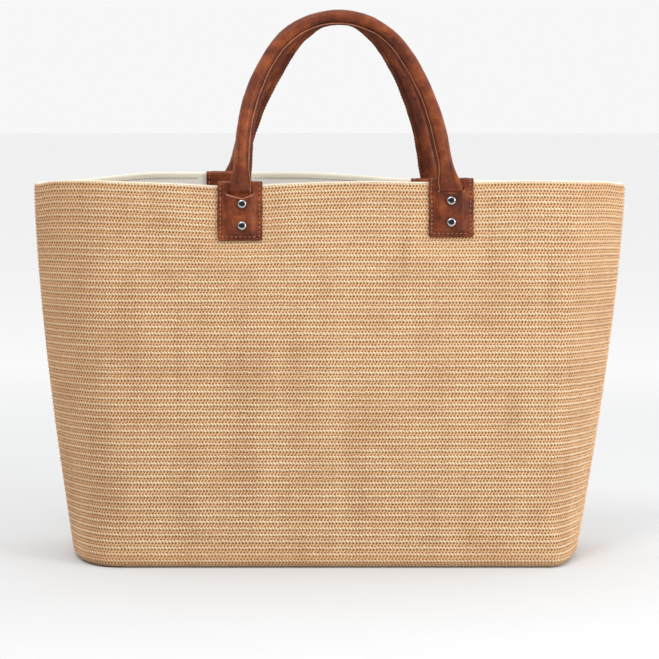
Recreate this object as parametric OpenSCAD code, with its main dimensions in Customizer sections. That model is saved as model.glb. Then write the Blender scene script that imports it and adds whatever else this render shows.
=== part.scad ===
// Straw beach bag with two rolled leather handles.
// Millimetres. Origin at the middle of the bottom, +Z up, the front faces -Y, +X to its right.

/* [Bag] */
// Height of the straw rim above the ground
rim_h = 357; // [320:1:420]
// Width between the side seams at the rim
top_w = 564; // [500:1:640]
// Width of the bag at the base
base_w = 480; // [430:1:500]
// Depth of the bag at the base
base_d = 164; // [150:1:200]
// Depth of the mouth between the handle patches
mouth_d = 72; // [66:1:90]
// Radius of the turned-under bottom edge
edge_r = 14; // [12:1:20]
// Thickness of the knitted straw
straw_t = 2.4; // [2:0.1:3]
// Thickness of the lining cloth
lining_t = 0.8; // [0.6:0.1:1]
// Thickness of the base board
board_t = 2; // [1.5:0.1:2.5]

/* [Handles] */
// Distance between the two legs of a handle
leg_gap = 198; // [180:1:210]
// Length of a handle from its hinge line to the middle of the roll at the top
handle_len = 165; // [158:1:178]
// Radius of the leather roll
roll_r = 6.2; // [5:0.1:6.6]
// Thickness of the handle leather
wrap_t = 1.3; // [1:0.1:1.6]
// Gap between the two handles at the top
handle_gap = 7; // [4:1:12]
// How far the middle of each pair of handle ends sits to the right of the bag's middle
pair_offset = 8; // [0:1:10]
// How far the front pair has slid to the right, and the back pair to the left, of that
pair_slide = 7; // [0:1:8]

/* [Patches and rivets] */
// Width of a patch
patch_w = 42; // [40:1:48]
// Height of a patch, from its bottom to the fold over the rim
patch_h = 56.5; // [54:0.5:62]
// Thickness of the patch leather
patch_t = 1.6; // [1.4:0.1:1.8]
// Width of the flat handle end under a patch
tongue_w = 20; // [16:1:21]
// Diameter of a rivet's domed cap
cap_d = 9; // [8:0.1:10]
// Height of a rivet's dome
dome_h = 1.9; // [1.5:0.1:2.2]
// Diameter of a rivet's post
post_d = 3.2; // [2.8:0.1:3.6]

/* [Hidden] */
$fn = 48;

// Colours
straw = [0.80, 0.62, 0.40];
cream = [0.93, 0.90, 0.84];
card = [0.62, 0.55, 0.45];
leather = [0.36, 0.15, 0.08];
nickel = [0.75, 0.75, 0.77];
cord = [0.85, 0.82, 0.72];

// Clearances, and how far a cut runs past the face it goes through
fit = 0.2;
bore_fit = 0.1;
post_fit = 0.05;
core_fit = 0.1;
seam = 0.3;
past = 1;

// Shell shape
flat_half = 140;
side_drop = (top_w - base_w) / 2;
side_power = 1.5;
lean = atan((base_d - mouth_d) / 2 / (rim_h - edge_r));
round_base = 4.5;
round_rim_x = 2.2;
round_rim_y = 1.6;
corner_steps = 9;
turn_steps = 5;
wall_steps = 12;

// Layers at the bottom, each height counted from the ground
board_z = straw_t + seam;
liner_z = board_z + board_t + seam;
liner_out = straw_t + seam;
base_inset = edge_r;
liner_turn = edge_r - 2 - liner_out;
liner_rise = 0.6;
board_gap = 1;

// Local frame of a wall at the rim: x along the rim, -y out of the wall, z up the wall.
// Distances from the outer straw face, counted outwards.
leaf_out = fit + patch_t;
tongue_t = 2.4;
tongue_gap = 0.3;
bump_in = fit + tongue_t + tongue_gap;
bump_out = bump_in + patch_t;
inner_leaf = straw_t + lining_t + seam + fit;
fold_gap = 1.1;
patch_top = fold_gap + patch_t;
patch_bottom = patch_top - patch_h;
slit_top = -7.3;
slit_bottom = -9.5;
slit_w = tongue_w + 3;
bump_w = tongue_w + 4.8;
bump_side = 1;
bump_root = 0.2;
bump_bottom = patch_bottom + 4.5;
pocket_w = tongue_w + 1.2;
tongue_bottom = bump_bottom + 2;
tongue_top = slit_bottom - 0.4;
rivet_heights = [patch_top - 21.9, patch_top - 42.3];

// Rivets
post_r = post_d / 2;
lip_h = 0.5;
cap_r = cap_d / 2;
dome_r = (cap_r * cap_r + dome_h * dome_h) / (2 * dome_h);
hole_l = 30;
back_r = 4;
back_t = 2;
back_edge = 0.6;
back_face = inner_leaf + patch_t;
post_end = back_face + back_t - 0.7;
post_joint = 0.1;

// Hinge line of a handle, and the arch above it
hinge_out = 5.4;
hinge_up = -6.4;
hinge_r = 2.1;
neck_l = 24;
neck_out = 5;
hinge_y = mouth_d / 2 + hinge_out * cos(lean) + (-hinge_up) * sin(lean);
hinge_z = rim_h + hinge_up * cos(lean) + hinge_out * sin(lean);
top_y = roll_r + handle_gap / 2;
handle_lean = asin((hinge_y + neck_out - top_y) / handle_len);
// Each handle is bent its own way: turn of its top, turn of its legs, radius in between
front_bend = [56, 83, 200];
back_bend = [56, 77, 300];
top_steps = 8;
side_steps = 6;
neck_steps = 6;
fin_w = 2.6;
fin_l = 3.2;
fin_end = 0.8;
fin_open = 14;
flap_gap = 0.2;
flap_open = 1.5;
flap_share = 0.3;
lip_turns = [22, 44];
neck_w = tongue_w / 2;
roll_sides = 16;
core_sides = 12;

// Half width of the bag, and half depth of the flat front, at height z
function half_w(z) = top_w / 2 - side_drop * pow(max(0, 1 - z / rim_h), side_power);
function half_d(z) = mouth_d / 2 + (rim_h - z) * tan(lean) - seam / 2;

// How square the section is at height z, across and along
function power_x(z) = round_base + (round_rim_x - round_base) * z / rim_h;
function power_y(z) = round_base + (round_rim_y - round_base) * z / rim_h;

// A point of the front half section at height z, inset from the outer face.
// A stop is [side, angle]: side is -1 on the left, and the angle is 0 at the side seam and
// 90 where the flat front begins.
function section_point(z, inset, stop) =
    let (
        across = pow(cos(stop[1]), 2 / power_x(z)),
        along = pow(sin(stop[1]), 2 / power_y(z))
    )
    [
        stop[0] * (flat_half + (half_w(z) - inset - flat_half) * (stop[1] == 90 ? 0 : across)),
        -(half_d(z) - inset) * along
    ];

// The section's stops from the left seam to the right one
function section_stops() = concat(
    [for (i = [0:corner_steps]) [-1, 90 * i / corner_steps]],
    [for (i = [corner_steps:-1:0]) [1, 90 * i / corner_steps]]
);

// Heights and insets of one face of a wall: first the turned-under edge, then the wall itself
function face_rows(inset, low, turn_r, high) = concat(
    [for (i = [0:turn_steps - 1])
        let (a = 90 * i / turn_steps) [low + turn_r * (1 - cos(a)), inset + turn_r * (1 - sin(a))]],
    [for (i = [0:wall_steps])
        [low + turn_r + (high - low - turn_r) * i / wall_steps, inset]]
);

// The points of one face, row by row
function face_points(rows) = [
    for (row = rows)
        for (stop = section_stops())
            let (p = section_point(row[0], row[1], stop)) [p[0], p[1], row[0]]
];

// Triangles between two runs of point numbers
function ribbon(run_a, run_b) = [
    for (k = [0:len(run_a) - 2])
        each [[run_a[k], run_a[k + 1], run_b[k]], [run_a[k + 1], run_b[k + 1], run_b[k]]]
];

function numbers(first, count, step) = [for (k = [0:count - 1]) first + k * step];

// Two triangles for each cell of a grid of points
function cells(rows, columns, base, flip) = [
    for (i = [0:rows - 2])
        for (j = [0:columns - 2])
            let (a = base + i * columns + j, b = a + 1, c = a + columns, d = c + 1)
            each (flip ? [[a, b, c], [b, d, c]] : [[a, c, b], [b, c, d]])
];

// Half shell between an outer and an inner face, open along the rim, the seams and the bottom
module half_shell(outer_rows, inner_rows) {
    rows = len(outer_rows);
    columns = len(section_stops());
    size = rows * columns;
    bottom = [for (j = [0:columns - 1]) j];
    rim = [for (j = bottom) size - columns + j];
    left = [for (i = [0:rows - 1]) i * columns];
    right = [for (i = left) i + columns - 1];
    polyhedron(
        points = concat(face_points(outer_rows), face_points(inner_rows)),
        faces = concat(
            cells(rows, columns, 0, false),
            cells(rows, columns, size, true),
            ribbon([for (k = bottom) k + size], bottom),
            ribbon(rim, [for (k = rim) k + size]),
            ribbon(left, [for (k = left) k + size]),
            ribbon([for (k = right) k + size], right)
        )
    );
}

// Outline of the bag at height z, inset from the outer face
module section_outline(z, inset) {
    front = [for (stop = section_stops()) section_point(z, inset, stop)];
    polygon(concat(front, [for (i = [len(front) - 2:-1:1]) [front[i][0], -front[i][1]]]));
}

// Puts its children in the local frame of the front wall, x to the right of the bag's middle
module on_front(x) {
    translate([x, -mouth_d / 2, rim_h]) rotate([-lean, 0, 0]) children();
}

// The same on the back wall, where x is still to the right of the bag's middle
module on_back(x) {
    rotate([0, 0, 180]) on_front(-x) children();
}

// The two rivet holes through everything behind a patch
module rivet_holes() {
    for (z = rivet_heights)
        translate([0, 0, z])
            rotate([90, 0, 0])
                cylinder(r = post_r + bore_fit, h = hole_l, center = true);
}

function front_x(side) = pair_offset + pair_slide + side * leg_gap / 2;
function back_x(side) = pair_offset - pair_slide + side * leg_gap / 2;

module straw_wall() {
    half_shell(
        face_rows(0, 0, edge_r, rim_h),
        face_rows(straw_t, straw_t, edge_r - straw_t, rim_h)
    );
}

module lining_wall() {
    half_shell(
        face_rows(liner_out, liner_z, liner_turn, rim_h + liner_rise),
        face_rows(liner_out + lining_t, liner_z + lining_t, liner_turn - lining_t, rim_h + liner_rise)
    );
}

module front_panel() {
    color(straw) difference() {
        straw_wall();
        for (side = [-1, 1]) on_front(front_x(side)) rivet_holes();
    }
}

module back_panel() {
    color(straw) difference() {
        rotate([0, 0, 180]) straw_wall();
        for (side = [-1, 1]) on_back(back_x(side)) rivet_holes();
    }
}

module base_panel() {
    color(straw) linear_extrude(straw_t) section_outline(0, base_inset + seam);
}

module base_board() {
    color(card) translate([0, 0, board_z])
        linear_extrude(board_t) section_outline(board_z, base_inset + board_gap);
}

module lining_front() {
    color(cream) difference() {
        lining_wall();
        for (side = [-1, 1]) on_front(front_x(side)) rivet_holes();
    }
}

module lining_back() {
    color(cream) difference() {
        rotate([0, 0, 180]) lining_wall();
        for (side = [-1, 1]) on_back(back_x(side)) rivet_holes();
    }
}

module lining_base() {
    color(cream) translate([0, 0, liner_z])
        linear_extrude(lining_t) section_outline(liner_z, liner_out + liner_turn + seam);
}

// Profile of a patch across the rim: outer leaf, fold and inner leaf
module patch_profile() {
    translate([-leaf_out, patch_bottom]) square([patch_t, fold_gap - patch_bottom]);
    translate([inner_leaf, patch_bottom]) square([patch_t, fold_gap - patch_bottom]);
    translate([-fit, fold_gap]) square([inner_leaf + fit, patch_t]);
    for (y = [-fit, inner_leaf]) translate([y, fold_gap]) intersection() {
        circle(r = patch_t);
        translate([-patch_t, 0]) square([2 * patch_t, patch_t]);
    }
}

// The raised part of the outer leaf, over the flat handle end
module patch_bump() {
    translate([0, 0, bump_bottom]) linear_extrude(slit_bottom - bump_bottom)
        polygon([
            [-bump_w / 2 - bump_side, -leaf_out + bump_root],
            [-bump_w / 2 + bump_side, -bump_out],
            [bump_w / 2 - bump_side, -bump_out],
            [bump_w / 2 + bump_side, -leaf_out + bump_root]
        ]);
}

module patch() {
    difference() {
        union() {
            translate([-patch_w / 2, 0, 0]) rotate([90, 0, 90]) linear_extrude(patch_w) patch_profile();
            patch_bump();
        }
        translate([-slit_w / 2, -leaf_out - past, slit_bottom])
            cube([slit_w, patch_t + 2 * past, slit_top - slit_bottom]);
        translate([-pocket_w / 2, -bump_in, bump_bottom + patch_t])
            cube([pocket_w, bump_in + bore_fit, slit_bottom - bump_bottom]);
        rivet_holes();
    }
}

// Flat end of a handle wrap, behind the patch
module tongue() {
    difference() {
        translate([-tongue_w / 2, -fit - tongue_t, tongue_bottom])
            cube([tongue_w, tongue_t, tongue_top - tongue_bottom]);
        rivet_holes();
    }
}

module patch_front_left() {
    color(leather) on_front(front_x(-1)) patch();
}

module patch_front_right() {
    color(leather) on_front(front_x(1)) patch();
}

module patch_back_left() {
    color(leather) on_back(back_x(-1)) patch();
}

module patch_back_right() {
    color(leather) on_back(back_x(1)) patch();
}

module tongue_front_left() {
    color(leather) on_front(front_x(-1)) tongue();
}

module tongue_front_right() {
    color(leather) on_front(front_x(1)) tongue();
}

module tongue_back_left() {
    color(leather) on_back(back_x(-1)) tongue();
}

module tongue_back_right() {
    color(leather) on_back(back_x(1)) tongue();
}

// A rivet: lip, dome and post, with its axis along the local y
module rivet() {
    translate([0, -bump_out, 0]) rotate([90, 0, 0]) {
        cylinder(r = cap_r, h = lip_h);
        translate([0, 0, lip_h]) intersection() {
            translate([0, 0, dome_h - dome_r]) sphere(r = dome_r);
            cylinder(r = cap_r, h = dome_h + past);
        }
        translate([0, 0, -bump_out - post_end])
            cylinder(r = post_r, h = bump_out + post_end + post_joint);
    }
}

module rivet_pair() {
    for (z = rivet_heights) translate([0, 0, z]) rivet();
}

// The inner cap that the post is pressed into
module rivet_back() {
    translate([0, back_face, 0]) rotate([-90, 0, 0]) difference() {
        union() {
            cylinder(r = back_r, h = back_t - back_edge);
            translate([0, 0, back_t - back_edge])
                cylinder(r1 = back_r, r2 = back_r - back_edge, h = back_edge);
        }
        translate([0, 0, -past])
            cylinder(r = post_r + post_fit, h = post_end - back_face + past + post_fit);
    }
}

module rivet_back_pair() {
    for (z = rivet_heights) translate([0, 0, z]) rivet_back();
}

module rivets_front_left() {
    color(nickel) on_front(front_x(-1)) rivet_pair();
}

module rivets_front_right() {
    color(nickel) on_front(front_x(1)) rivet_pair();
}

module rivets_back_left() {
    color(nickel) on_back(back_x(-1)) rivet_pair();
}

module rivets_back_right() {
    color(nickel) on_back(back_x(1)) rivet_pair();
}

module rivet_backs_front_left() {
    color(nickel) on_front(front_x(-1)) rivet_back_pair();
}

module rivet_backs_front_right() {
    color(nickel) on_front(front_x(1)) rivet_back_pair();
}

module rivet_backs_back_left() {
    color(nickel) on_back(back_x(-1)) rivet_back_pair();
}

module rivet_backs_back_right() {
    color(nickel) on_back(back_x(1)) rivet_back_pair();
}

// Radius of an arch's top: it makes the legs end leg_gap apart at the hinge line's height
function top_radius(bend) =
    let (slope = cos(bend[1]) / sin(bend[1]))
    (leg_gap / 2 - side_run(bend) - slope * (handle_len - side_fall(bend)))
        / (sin(bend[0]) - slope * (1 - cos(bend[0])));

// How far the side arc runs outwards and down
function side_run(bend) = bend[2] * (sin(bend[1]) - sin(bend[0]));
function side_fall(bend) = bend[2] * (cos(bend[0]) - cos(bend[1]));

// Where the top arc ends, and the x where the straight leg meets the neck
function arch_end(bend) =
    [top_radius(bend) * sin(bend[0]), handle_len - top_radius(bend) * (1 - cos(bend[0]))];
function leg_foot(bend) =
    let (end = arch_end(bend), leg = end[1] - side_fall(bend) - neck_l)
    end[0] + side_run(bend) + leg * cos(bend[1]) / sin(bend[1]);

// One side of a handle's centre line, from the top of the arch to the hinge line.
// Each station is [x, z, tangent angle, half width, half thickness, y, fin length]; the angle is
// 0 where the line runs level at the top and 90 where it runs straight down.
function arch_stations(bend) =
    let (top_r = top_radius(bend), end = arch_end(bend))
    concat(
        [for (i = [0:top_steps])
            let (a = bend[0] * i / top_steps)
            [top_r * sin(a), handle_len - top_r * (1 - cos(a)), a, roll_r, roll_r, 0, fin_l]],
        [for (i = [1:side_steps])
            let (a = bend[0] + (bend[1] - bend[0]) * i / side_steps)
            [
                end[0] + bend[2] * (sin(a) - sin(bend[0])),
                end[1] - bend[2] * (cos(bend[0]) - cos(a)),
                a, roll_r, roll_r, 0, fin_l
            ]],
        [[leg_foot(bend), neck_l, bend[1], roll_r, roll_r, 0, fin_l]]
    );

// The neck goes from round to flat on its way to the hinge line, and ends in a rounded lip
function neck_stations(bend) =
    let (foot = leg_foot(bend))
    concat(
        [for (i = [1:neck_steps])
            let (t = i / neck_steps, s = t * t * (3 - 2 * t))
            [
                foot + (leg_gap / 2 - foot) * t, neck_l * (1 - t), bend[1] + (90 - bend[1]) * t,
                roll_r + (neck_w - roll_r) * s, roll_r + (hinge_r - roll_r) * s,
                neck_out * s, fin_l + (fin_end - fin_l) * t
            ]],
        [for (a = lip_turns)
            [leg_gap / 2, -hinge_r * sin(a), 90, neck_w, hinge_r * cos(a), neck_out, fin_end]]
    );

// Both sides in one run, from the left hinge line over the top to the right one
function whole_run(half) = concat(
    [for (i = [len(half) - 1:-1:1]) let (p = half[i]) [-p[0], p[1], -p[2], p[3], p[4], p[5], p[6]]],
    half
);

// A point of a ring: an oval where the wrap is round, squarer where it is flat
function oval_point(p, a, inset) =
    let (power = 1 - 0.5 * (p[3] - roll_r) / (neck_w - roll_r), c = cos(a), s = sin(a))
    [sign(c) * (p[3] - inset) * pow(abs(c), power), sign(s) * (p[4] - inset) * pow(abs(s), power)];

// Angles round a ring that is open towards the inside of the arch
function ring_angles(open) = [
    for (k = [0:roll_sides - 1]) 180 + open + (360 - 2 * open) * k / (roll_sides - 1)
];

// End of the fin: the leather is folded round the cord and sewn along the fin's two flaps
function fin_x(p) = oval_point(p, 180 - fin_open, 0)[0] - p[6];

function outer_ring(p) =
    let (y = min(fin_w / 2, p[4] * flap_share), x = fin_x(p))
    concat([[x, -y]], [for (a = ring_angles(fin_open)) oval_point(p, a, 0)], [[x, y]]);

function inner_ring(p) = concat(
    [[fin_x(p), -flap_gap / 2]],
    [for (a = ring_angles(flap_open)) oval_point(p, a, wrap_t)],
    [[fin_x(p), flap_gap / 2]]
);

function core_ring() = [
    for (k = [0:core_sides - 1])
        let (a = 360 * k / core_sides, r = roll_r - wrap_t - core_fit) [r * cos(a), r * sin(a)]
];

// How much of the sideways bend there is at height z: most of it is in the lower legs
function bend_share(z) = z / handle_len * (2 - z / handle_len);

// A ring's point in space: its first number points away from the middle of the arch
function in_space(p, q) =
    let (z = p[1] + q[0] * cos(p[2]))
    [p[0] + q[0] * sin(p[2]) - pair_slide * bend_share(z), p[5] + q[1], z];

// Leather of a handle: a tube with a seam, open at its two flat ends
module handle_wrap(bend) {
    run = whole_run(concat(arch_stations(bend), neck_stations(bend)));
    sides = roll_sides + 2;
    rings = len(run);
    size = rings * sides;
    last = size - sides;
    polyhedron(
        points = concat(
            [for (p = run) each [for (q = outer_ring(p)) in_space(p, q)]],
            [for (p = run) each [for (q = inner_ring(p)) in_space(p, q)]]
        ),
        faces = concat(
            [for (i = [0:rings - 2])
                each ribbon(numbers(i * sides, sides, 1), numbers((i + 1) * sides, sides, 1))],
            [for (i = [0:rings - 2])
                each ribbon(numbers(size + (i + 1) * sides, sides, 1), numbers(size + i * sides, sides, 1))],
            ribbon(numbers(0, rings, sides), numbers(size, rings, sides)),
            ribbon(numbers(size + sides - 1, rings, sides), numbers(sides - 1, rings, sides)),
            ribbon(numbers(size, sides, 1), numbers(0, sides, 1)),
            ribbon(numbers(last, sides, 1), numbers(size + last, sides, 1))
        )
    );
}

// Cord inside the roll, from one neck over the top to the other
module handle_core(bend) {
    run = whole_run(arch_stations(bend));
    last = (len(run) - 1) * core_sides;
    polyhedron(
        points = [for (p = run) each [for (q = core_ring()) in_space(p, q)]],
        faces = concat(
            [numbers(core_sides - 1, core_sides, -1)],
            [for (i = [0:len(run) - 2])
                let (ring = concat(numbers(i * core_sides, core_sides, 1), [i * core_sides]))
                each ribbon(ring, [for (k = ring) k + core_sides])],
            [numbers(last, core_sides, 1)]
        )
    );
}

// Puts a handle, drawn upright with its hinge line at y = neck_out, in its place at rest
module in_front(x) {
    translate([x, -hinge_y, hinge_z]) rotate([-handle_lean, 0, 0]) translate([0, -neck_out, 0]) children();
}

module front_handle_wrap() {
    color(leather) in_front(front_x(0)) handle_wrap(front_bend);
}

module back_handle_wrap() {
    color(leather) rotate([0, 0, 180]) in_front(-back_x(0)) handle_wrap(back_bend);
}

module front_handle_core() {
    color(cord) in_front(front_x(0)) handle_core(front_bend);
}

module back_handle_core() {
    color(cord) rotate([0, 0, 180]) in_front(-back_x(0)) handle_core(back_bend);
}

front_panel();
back_panel();
base_panel();
base_board();
lining_front();
lining_back();
lining_base();
patch_front_left();
patch_front_right();
patch_back_left();
patch_back_right();
tongue_front_left();
tongue_front_right();
tongue_back_left();
tongue_back_right();
rivets_front_left();
rivets_front_right();
rivets_back_left();
rivets_back_right();
rivet_backs_front_left();
rivet_backs_front_right();
rivet_backs_back_left();
rivet_backs_back_right();
front_handle_wrap();
front_handle_core();
back_handle_wrap();
back_handle_core();
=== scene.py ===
"""Straw beach bag with two rolled leather handles: its meshes, finishes and studio.

Sizes are in millimetres in the dataclasses and in metres in Blender. The origin is the middle
of the bottom, the front faces -Y and +X is to its right.
"""

import logging
import math
from dataclasses import dataclass, field
from enum import Enum

import bmesh
import bpy
import numpy as np
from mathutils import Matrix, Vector


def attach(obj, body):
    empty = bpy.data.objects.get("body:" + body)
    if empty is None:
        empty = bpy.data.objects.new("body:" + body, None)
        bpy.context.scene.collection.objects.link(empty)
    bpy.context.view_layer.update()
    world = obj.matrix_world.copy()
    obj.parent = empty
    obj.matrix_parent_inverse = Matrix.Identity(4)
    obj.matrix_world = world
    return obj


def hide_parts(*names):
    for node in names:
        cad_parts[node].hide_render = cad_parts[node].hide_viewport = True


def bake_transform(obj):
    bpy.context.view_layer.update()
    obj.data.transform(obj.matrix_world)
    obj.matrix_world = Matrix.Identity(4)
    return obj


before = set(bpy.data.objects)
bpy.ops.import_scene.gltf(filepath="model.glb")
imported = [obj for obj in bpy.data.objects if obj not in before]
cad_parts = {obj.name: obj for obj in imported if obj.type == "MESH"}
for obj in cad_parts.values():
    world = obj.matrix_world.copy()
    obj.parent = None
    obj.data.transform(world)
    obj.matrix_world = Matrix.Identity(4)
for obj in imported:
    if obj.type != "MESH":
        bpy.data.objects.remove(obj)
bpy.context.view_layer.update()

LOG = logging.getLogger("beach_bag")
MM = 0.001
Array = np.ndarray
Colour = tuple[float, float, float, float]


def tone(red: int, green: int, blue: int) -> Colour:
    """Turn a display colour into a linear one.

    Args:
        red: Red from 0 to 255.
        green: Green from 0 to 255.
        blue: Blue from 0 to 255.

    Returns:
        The colour with an opaque alpha.
    """
    parts = [c / 255 for c in (red, green, blue)]
    linear = [c / 12.92 if c <= 0.04045 else ((c + 0.055) / 1.055) ** 2.4 for c in parts]
    return (*linear, 1.0)


def ease(x: Array, low: float, high: float) -> Array:
    """Smooth step from 0 at low to 1 at high.

    Args:
        x: Values to map.
        low: Where the step starts.
        high: Where the step ends; below low it falls instead.

    Returns:
        Values from 0 to 1.
    """
    t = np.clip((np.asarray(x, float) - low) / (high - low), 0, 1)
    return t * t * (3 - 2 * t)


def hump(x: Array, middle: float, width: float) -> Array:
    """Bell curve, 1 at its middle and near 0 at twice its width."""
    return np.exp(-(((np.asarray(x, float) - middle) / width) ** 2))


class Ripple:
    """Smooth repeatable unevenness: a few sine waves with seeded directions and phases."""

    def __init__(self, seed: int, wave: float, count: int = 9) -> None:
        """Draw the waves.

        Args:
            seed: Seed of the directions and phases.
            wave: Typical wavelength in millimetres.
            count: Number of waves.
        """
        draw = np.random.default_rng(seed)
        angle = draw.uniform(0, 2 * math.pi, count)
        size = draw.uniform(0.7, 1.5, count) * 2 * math.pi / wave
        self.across = np.cos(angle) * size
        self.along = np.sin(angle) * size
        self.phase = draw.uniform(0, 2 * math.pi, count)

    def at(self, x: Array, y: Array) -> Array:
        """Height from about -1 to 1.

        Args:
            x: First coordinates, in millimetres.
            y: Second coordinates, in millimetres.

        Returns:
            Heights in the shape of x and y together.
        """
        x, y = np.broadcast_arrays(np.asarray(x, float), np.asarray(y, float))
        waves = np.sin(x[..., None] * self.across + y[..., None] * self.along + self.phase)
        return waves.sum(-1) / math.sqrt(len(self.phase)) * 0.8


# ---------------------------------------------------------------------------------------------
# Shader expressions
# ---------------------------------------------------------------------------------------------


@dataclass(frozen=True)
class Wire:
    """A number from a node, ready for Python arithmetic; each operation adds a Math node."""

    shader: "Shader"
    socket: bpy.types.NodeSocket

    def __add__(self, other: "Wire | float") -> "Wire":
        """Sum."""
        return self.shader.maths("ADD", self, other)

    __radd__ = __add__

    def __sub__(self, other: "Wire | float") -> "Wire":
        """Difference."""
        return self.shader.maths("SUBTRACT", self, other)

    def __rsub__(self, other: float) -> "Wire":
        """Reflected difference."""
        return self.shader.maths("SUBTRACT", other, self)

    def __mul__(self, other: "Wire | float") -> "Wire":
        """Product."""
        return self.shader.maths("MULTIPLY", self, other)

    __rmul__ = __mul__

    def __abs__(self) -> "Wire":
        """Size without its sign."""
        return self.shader.maths("ABSOLUTE", self)

    def part(self) -> "Wire":
        """What is left above the whole number below."""
        return self.shader.maths("FRACT", self)

    def wave(self) -> "Wire":
        """Sine."""
        return self.shader.maths("SINE", self)

    def most(self, other: "Wire | float") -> "Wire":
        """The larger of two."""
        return self.shader.maths("MAXIMUM", self, other)

    def step(self, low: float, high: float) -> "Wire":
        """Smooth step from 0 at low to 1 at high, or falling where high is below low."""
        flip = high < low
        made = self.shader.node(
            "ShaderNodeMapRange",
            {"interpolation_type": "SMOOTHSTEP"},
            {0: self, 1: min(low, high), 2: max(low, high), 3: float(flip), 4: float(not flip)},
        )
        return Wire(self.shader, made.outputs[0])


class Shader:
    """Node tree whose nodes are added by type, settings and sockets."""

    def __init__(self, tree: bpy.types.NodeTree) -> None:
        """Clear the tree.

        Args:
            tree: The tree to fill.
        """
        self.tree = tree
        self.tree.nodes.clear()

    def node(
        self,
        kind: str,
        settings: dict[str, object] | None = None,
        sockets: dict[int | str, object] | None = None,
    ) -> bpy.types.Node:
        """Add a node.

        Args:
            kind: Blender's type name of the node.
            settings: Its settings, set before its sockets.
            sockets: Values, wires or sockets for its inputs, by name or number.

        Returns:
            The node.
        """
        made = self.tree.nodes.new(kind)
        for key, value in (settings or {}).items():
            setattr(made, key, value)
        for key, value in (sockets or {}).items():
            self.feed(made.inputs[key], value)
        return made

    def feed(self, target: bpy.types.NodeSocket, value: object) -> None:
        """Set or link an input.

        Args:
            target: The input.
            value: A wire, a node's output, or a plain value.
        """
        if isinstance(value, Wire):
            value = value.socket
        if isinstance(value, bpy.types.NodeSocket):
            self.tree.links.new(value, target)
        else:
            target.default_value = value

    def maths(self, operation: str, *values: Wire | float) -> Wire:
        """Add a Math node.

        Args:
            operation: Name of the operation.
            values: Its operands.

        Returns:
            Its result.
        """
        made = self.node("ShaderNodeMath", {"operation": operation}, dict(enumerate(values)))
        return Wire(self, made.outputs[0])

    def place(self, stretch: tuple[float, float, float] = (1, 1, 1)) -> bpy.types.NodeSocket:
        """Object coordinates in metres, stretched by a factor for each axis."""
        found = self.node("ShaderNodeTexCoord").outputs["Object"]
        made = self.node("ShaderNodeVectorMath", {"operation": "MULTIPLY"}, {0: found, 1: stretch})
        return made.outputs[0]

    def parts(self, vector: bpy.types.NodeSocket) -> tuple[Wire, ...]:
        """The three numbers of a vector."""
        split = self.node("ShaderNodeSeparateXYZ", sockets={0: vector})
        return tuple(Wire(self, out) for out in split.outputs)

    def layout(self, name: str) -> tuple[bpy.types.NodeSocket, Wire, Wire, Wire]:
        """Read a mesh's layout attribute.

        Args:
            name: Name of the vector attribute.

        Returns:
            The vector and its three numbers.
        """
        found = self.node("ShaderNodeAttribute", {"attribute_name": name}).outputs["Vector"]
        return (found, *self.parts(found))

    def noise(self, where: bpy.types.NodeSocket, scale: float, detail: float = 2.0) -> Wire:
        """Soft noise from 0 to 1.

        Args:
            where: Coordinates.
            scale: Spots for each unit of them.
            detail: Number of finer layers.

        Returns:
            The noise.
        """
        made = self.node(
            "ShaderNodeTexNoise", sockets={"Vector": where, "Scale": scale, "Detail": detail}
        )
        return Wire(self, made.outputs[0])

    def cells(self, where: bpy.types.NodeSocket, scale: float) -> Wire:
        """Distance to the nearest edge in a pattern of cells.

        Args:
            where: Coordinates.
            scale: Cells for each unit of them.

        Returns:
            The distance.
        """
        settings = {"feature": "DISTANCE_TO_EDGE"}
        made = self.node("ShaderNodeTexVoronoi", settings, {"Vector": where, "Scale": scale})
        return Wire(self, made.outputs["Distance"])

    def mix(self, share: Wire | float, low: object, high: object) -> object:
        """Mix two colours.

        Args:
            share: How much of the second colour shows.
            low: First colour, or an output with it.
            high: Second colour, or an output with it.

        Returns:
            The output with the mixed colour.
        """
        settings = {"data_type": "RGBA", "blend_type": "MIX"}
        return self.node("ShaderNodeMix", settings, {0: share, 6: low, 7: high}).outputs[2]

    def layered(self, ground: Colour, *layers: tuple[Wire, object]) -> object:
        """Lay colours over a ground, one after the other.

        Args:
            ground: The colour that they lie on.
            layers: How much of each one shows, and its colour.

        Returns:
            The output with the mixed colour.
        """
        for share, colour in layers:
            ground = self.mix(share, ground, colour)
        return ground

    def relief(self, height: Wire, depth: float) -> bpy.types.NodeSocket:
        """Turn a height into a bumped normal.

        Args:
            height: Height from 0 to 1.
            depth: What a height of 1 stands for, in metres.

        Returns:
            The normal.
        """
        sockets = {"Strength": 1.0, "Distance": depth, "Height": height}
        return self.node("ShaderNodeBump", sockets=sockets).outputs[0]


class Dress(Shader):
    """Shader of a material, which ends in a Principled shader."""

    def __init__(self, name: str) -> None:
        """Start an empty material.

        Args:
            name: Name of the material.
        """
        self.material = bpy.data.materials.new(name)
        self.material.use_nodes = True
        super().__init__(self.material.node_tree)
        end = self.node("ShaderNodeOutputMaterial")
        self.surface = self.node("ShaderNodeBsdfPrincipled")
        self.tree.links.new(self.surface.outputs[0], end.inputs[0])

    def finish(self, **sockets: object) -> bpy.types.Material:
        """Feed the Principled shader.

        Args:
            sockets: Values or wires by socket name, with _ for each space.

        Returns:
            The material.
        """
        for key, value in sockets.items():
            self.feed(self.surface.inputs[key.replace("_", " ")], value)
        return self.material


# ---------------------------------------------------------------------------------------------
# Finishes
# ---------------------------------------------------------------------------------------------


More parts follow.
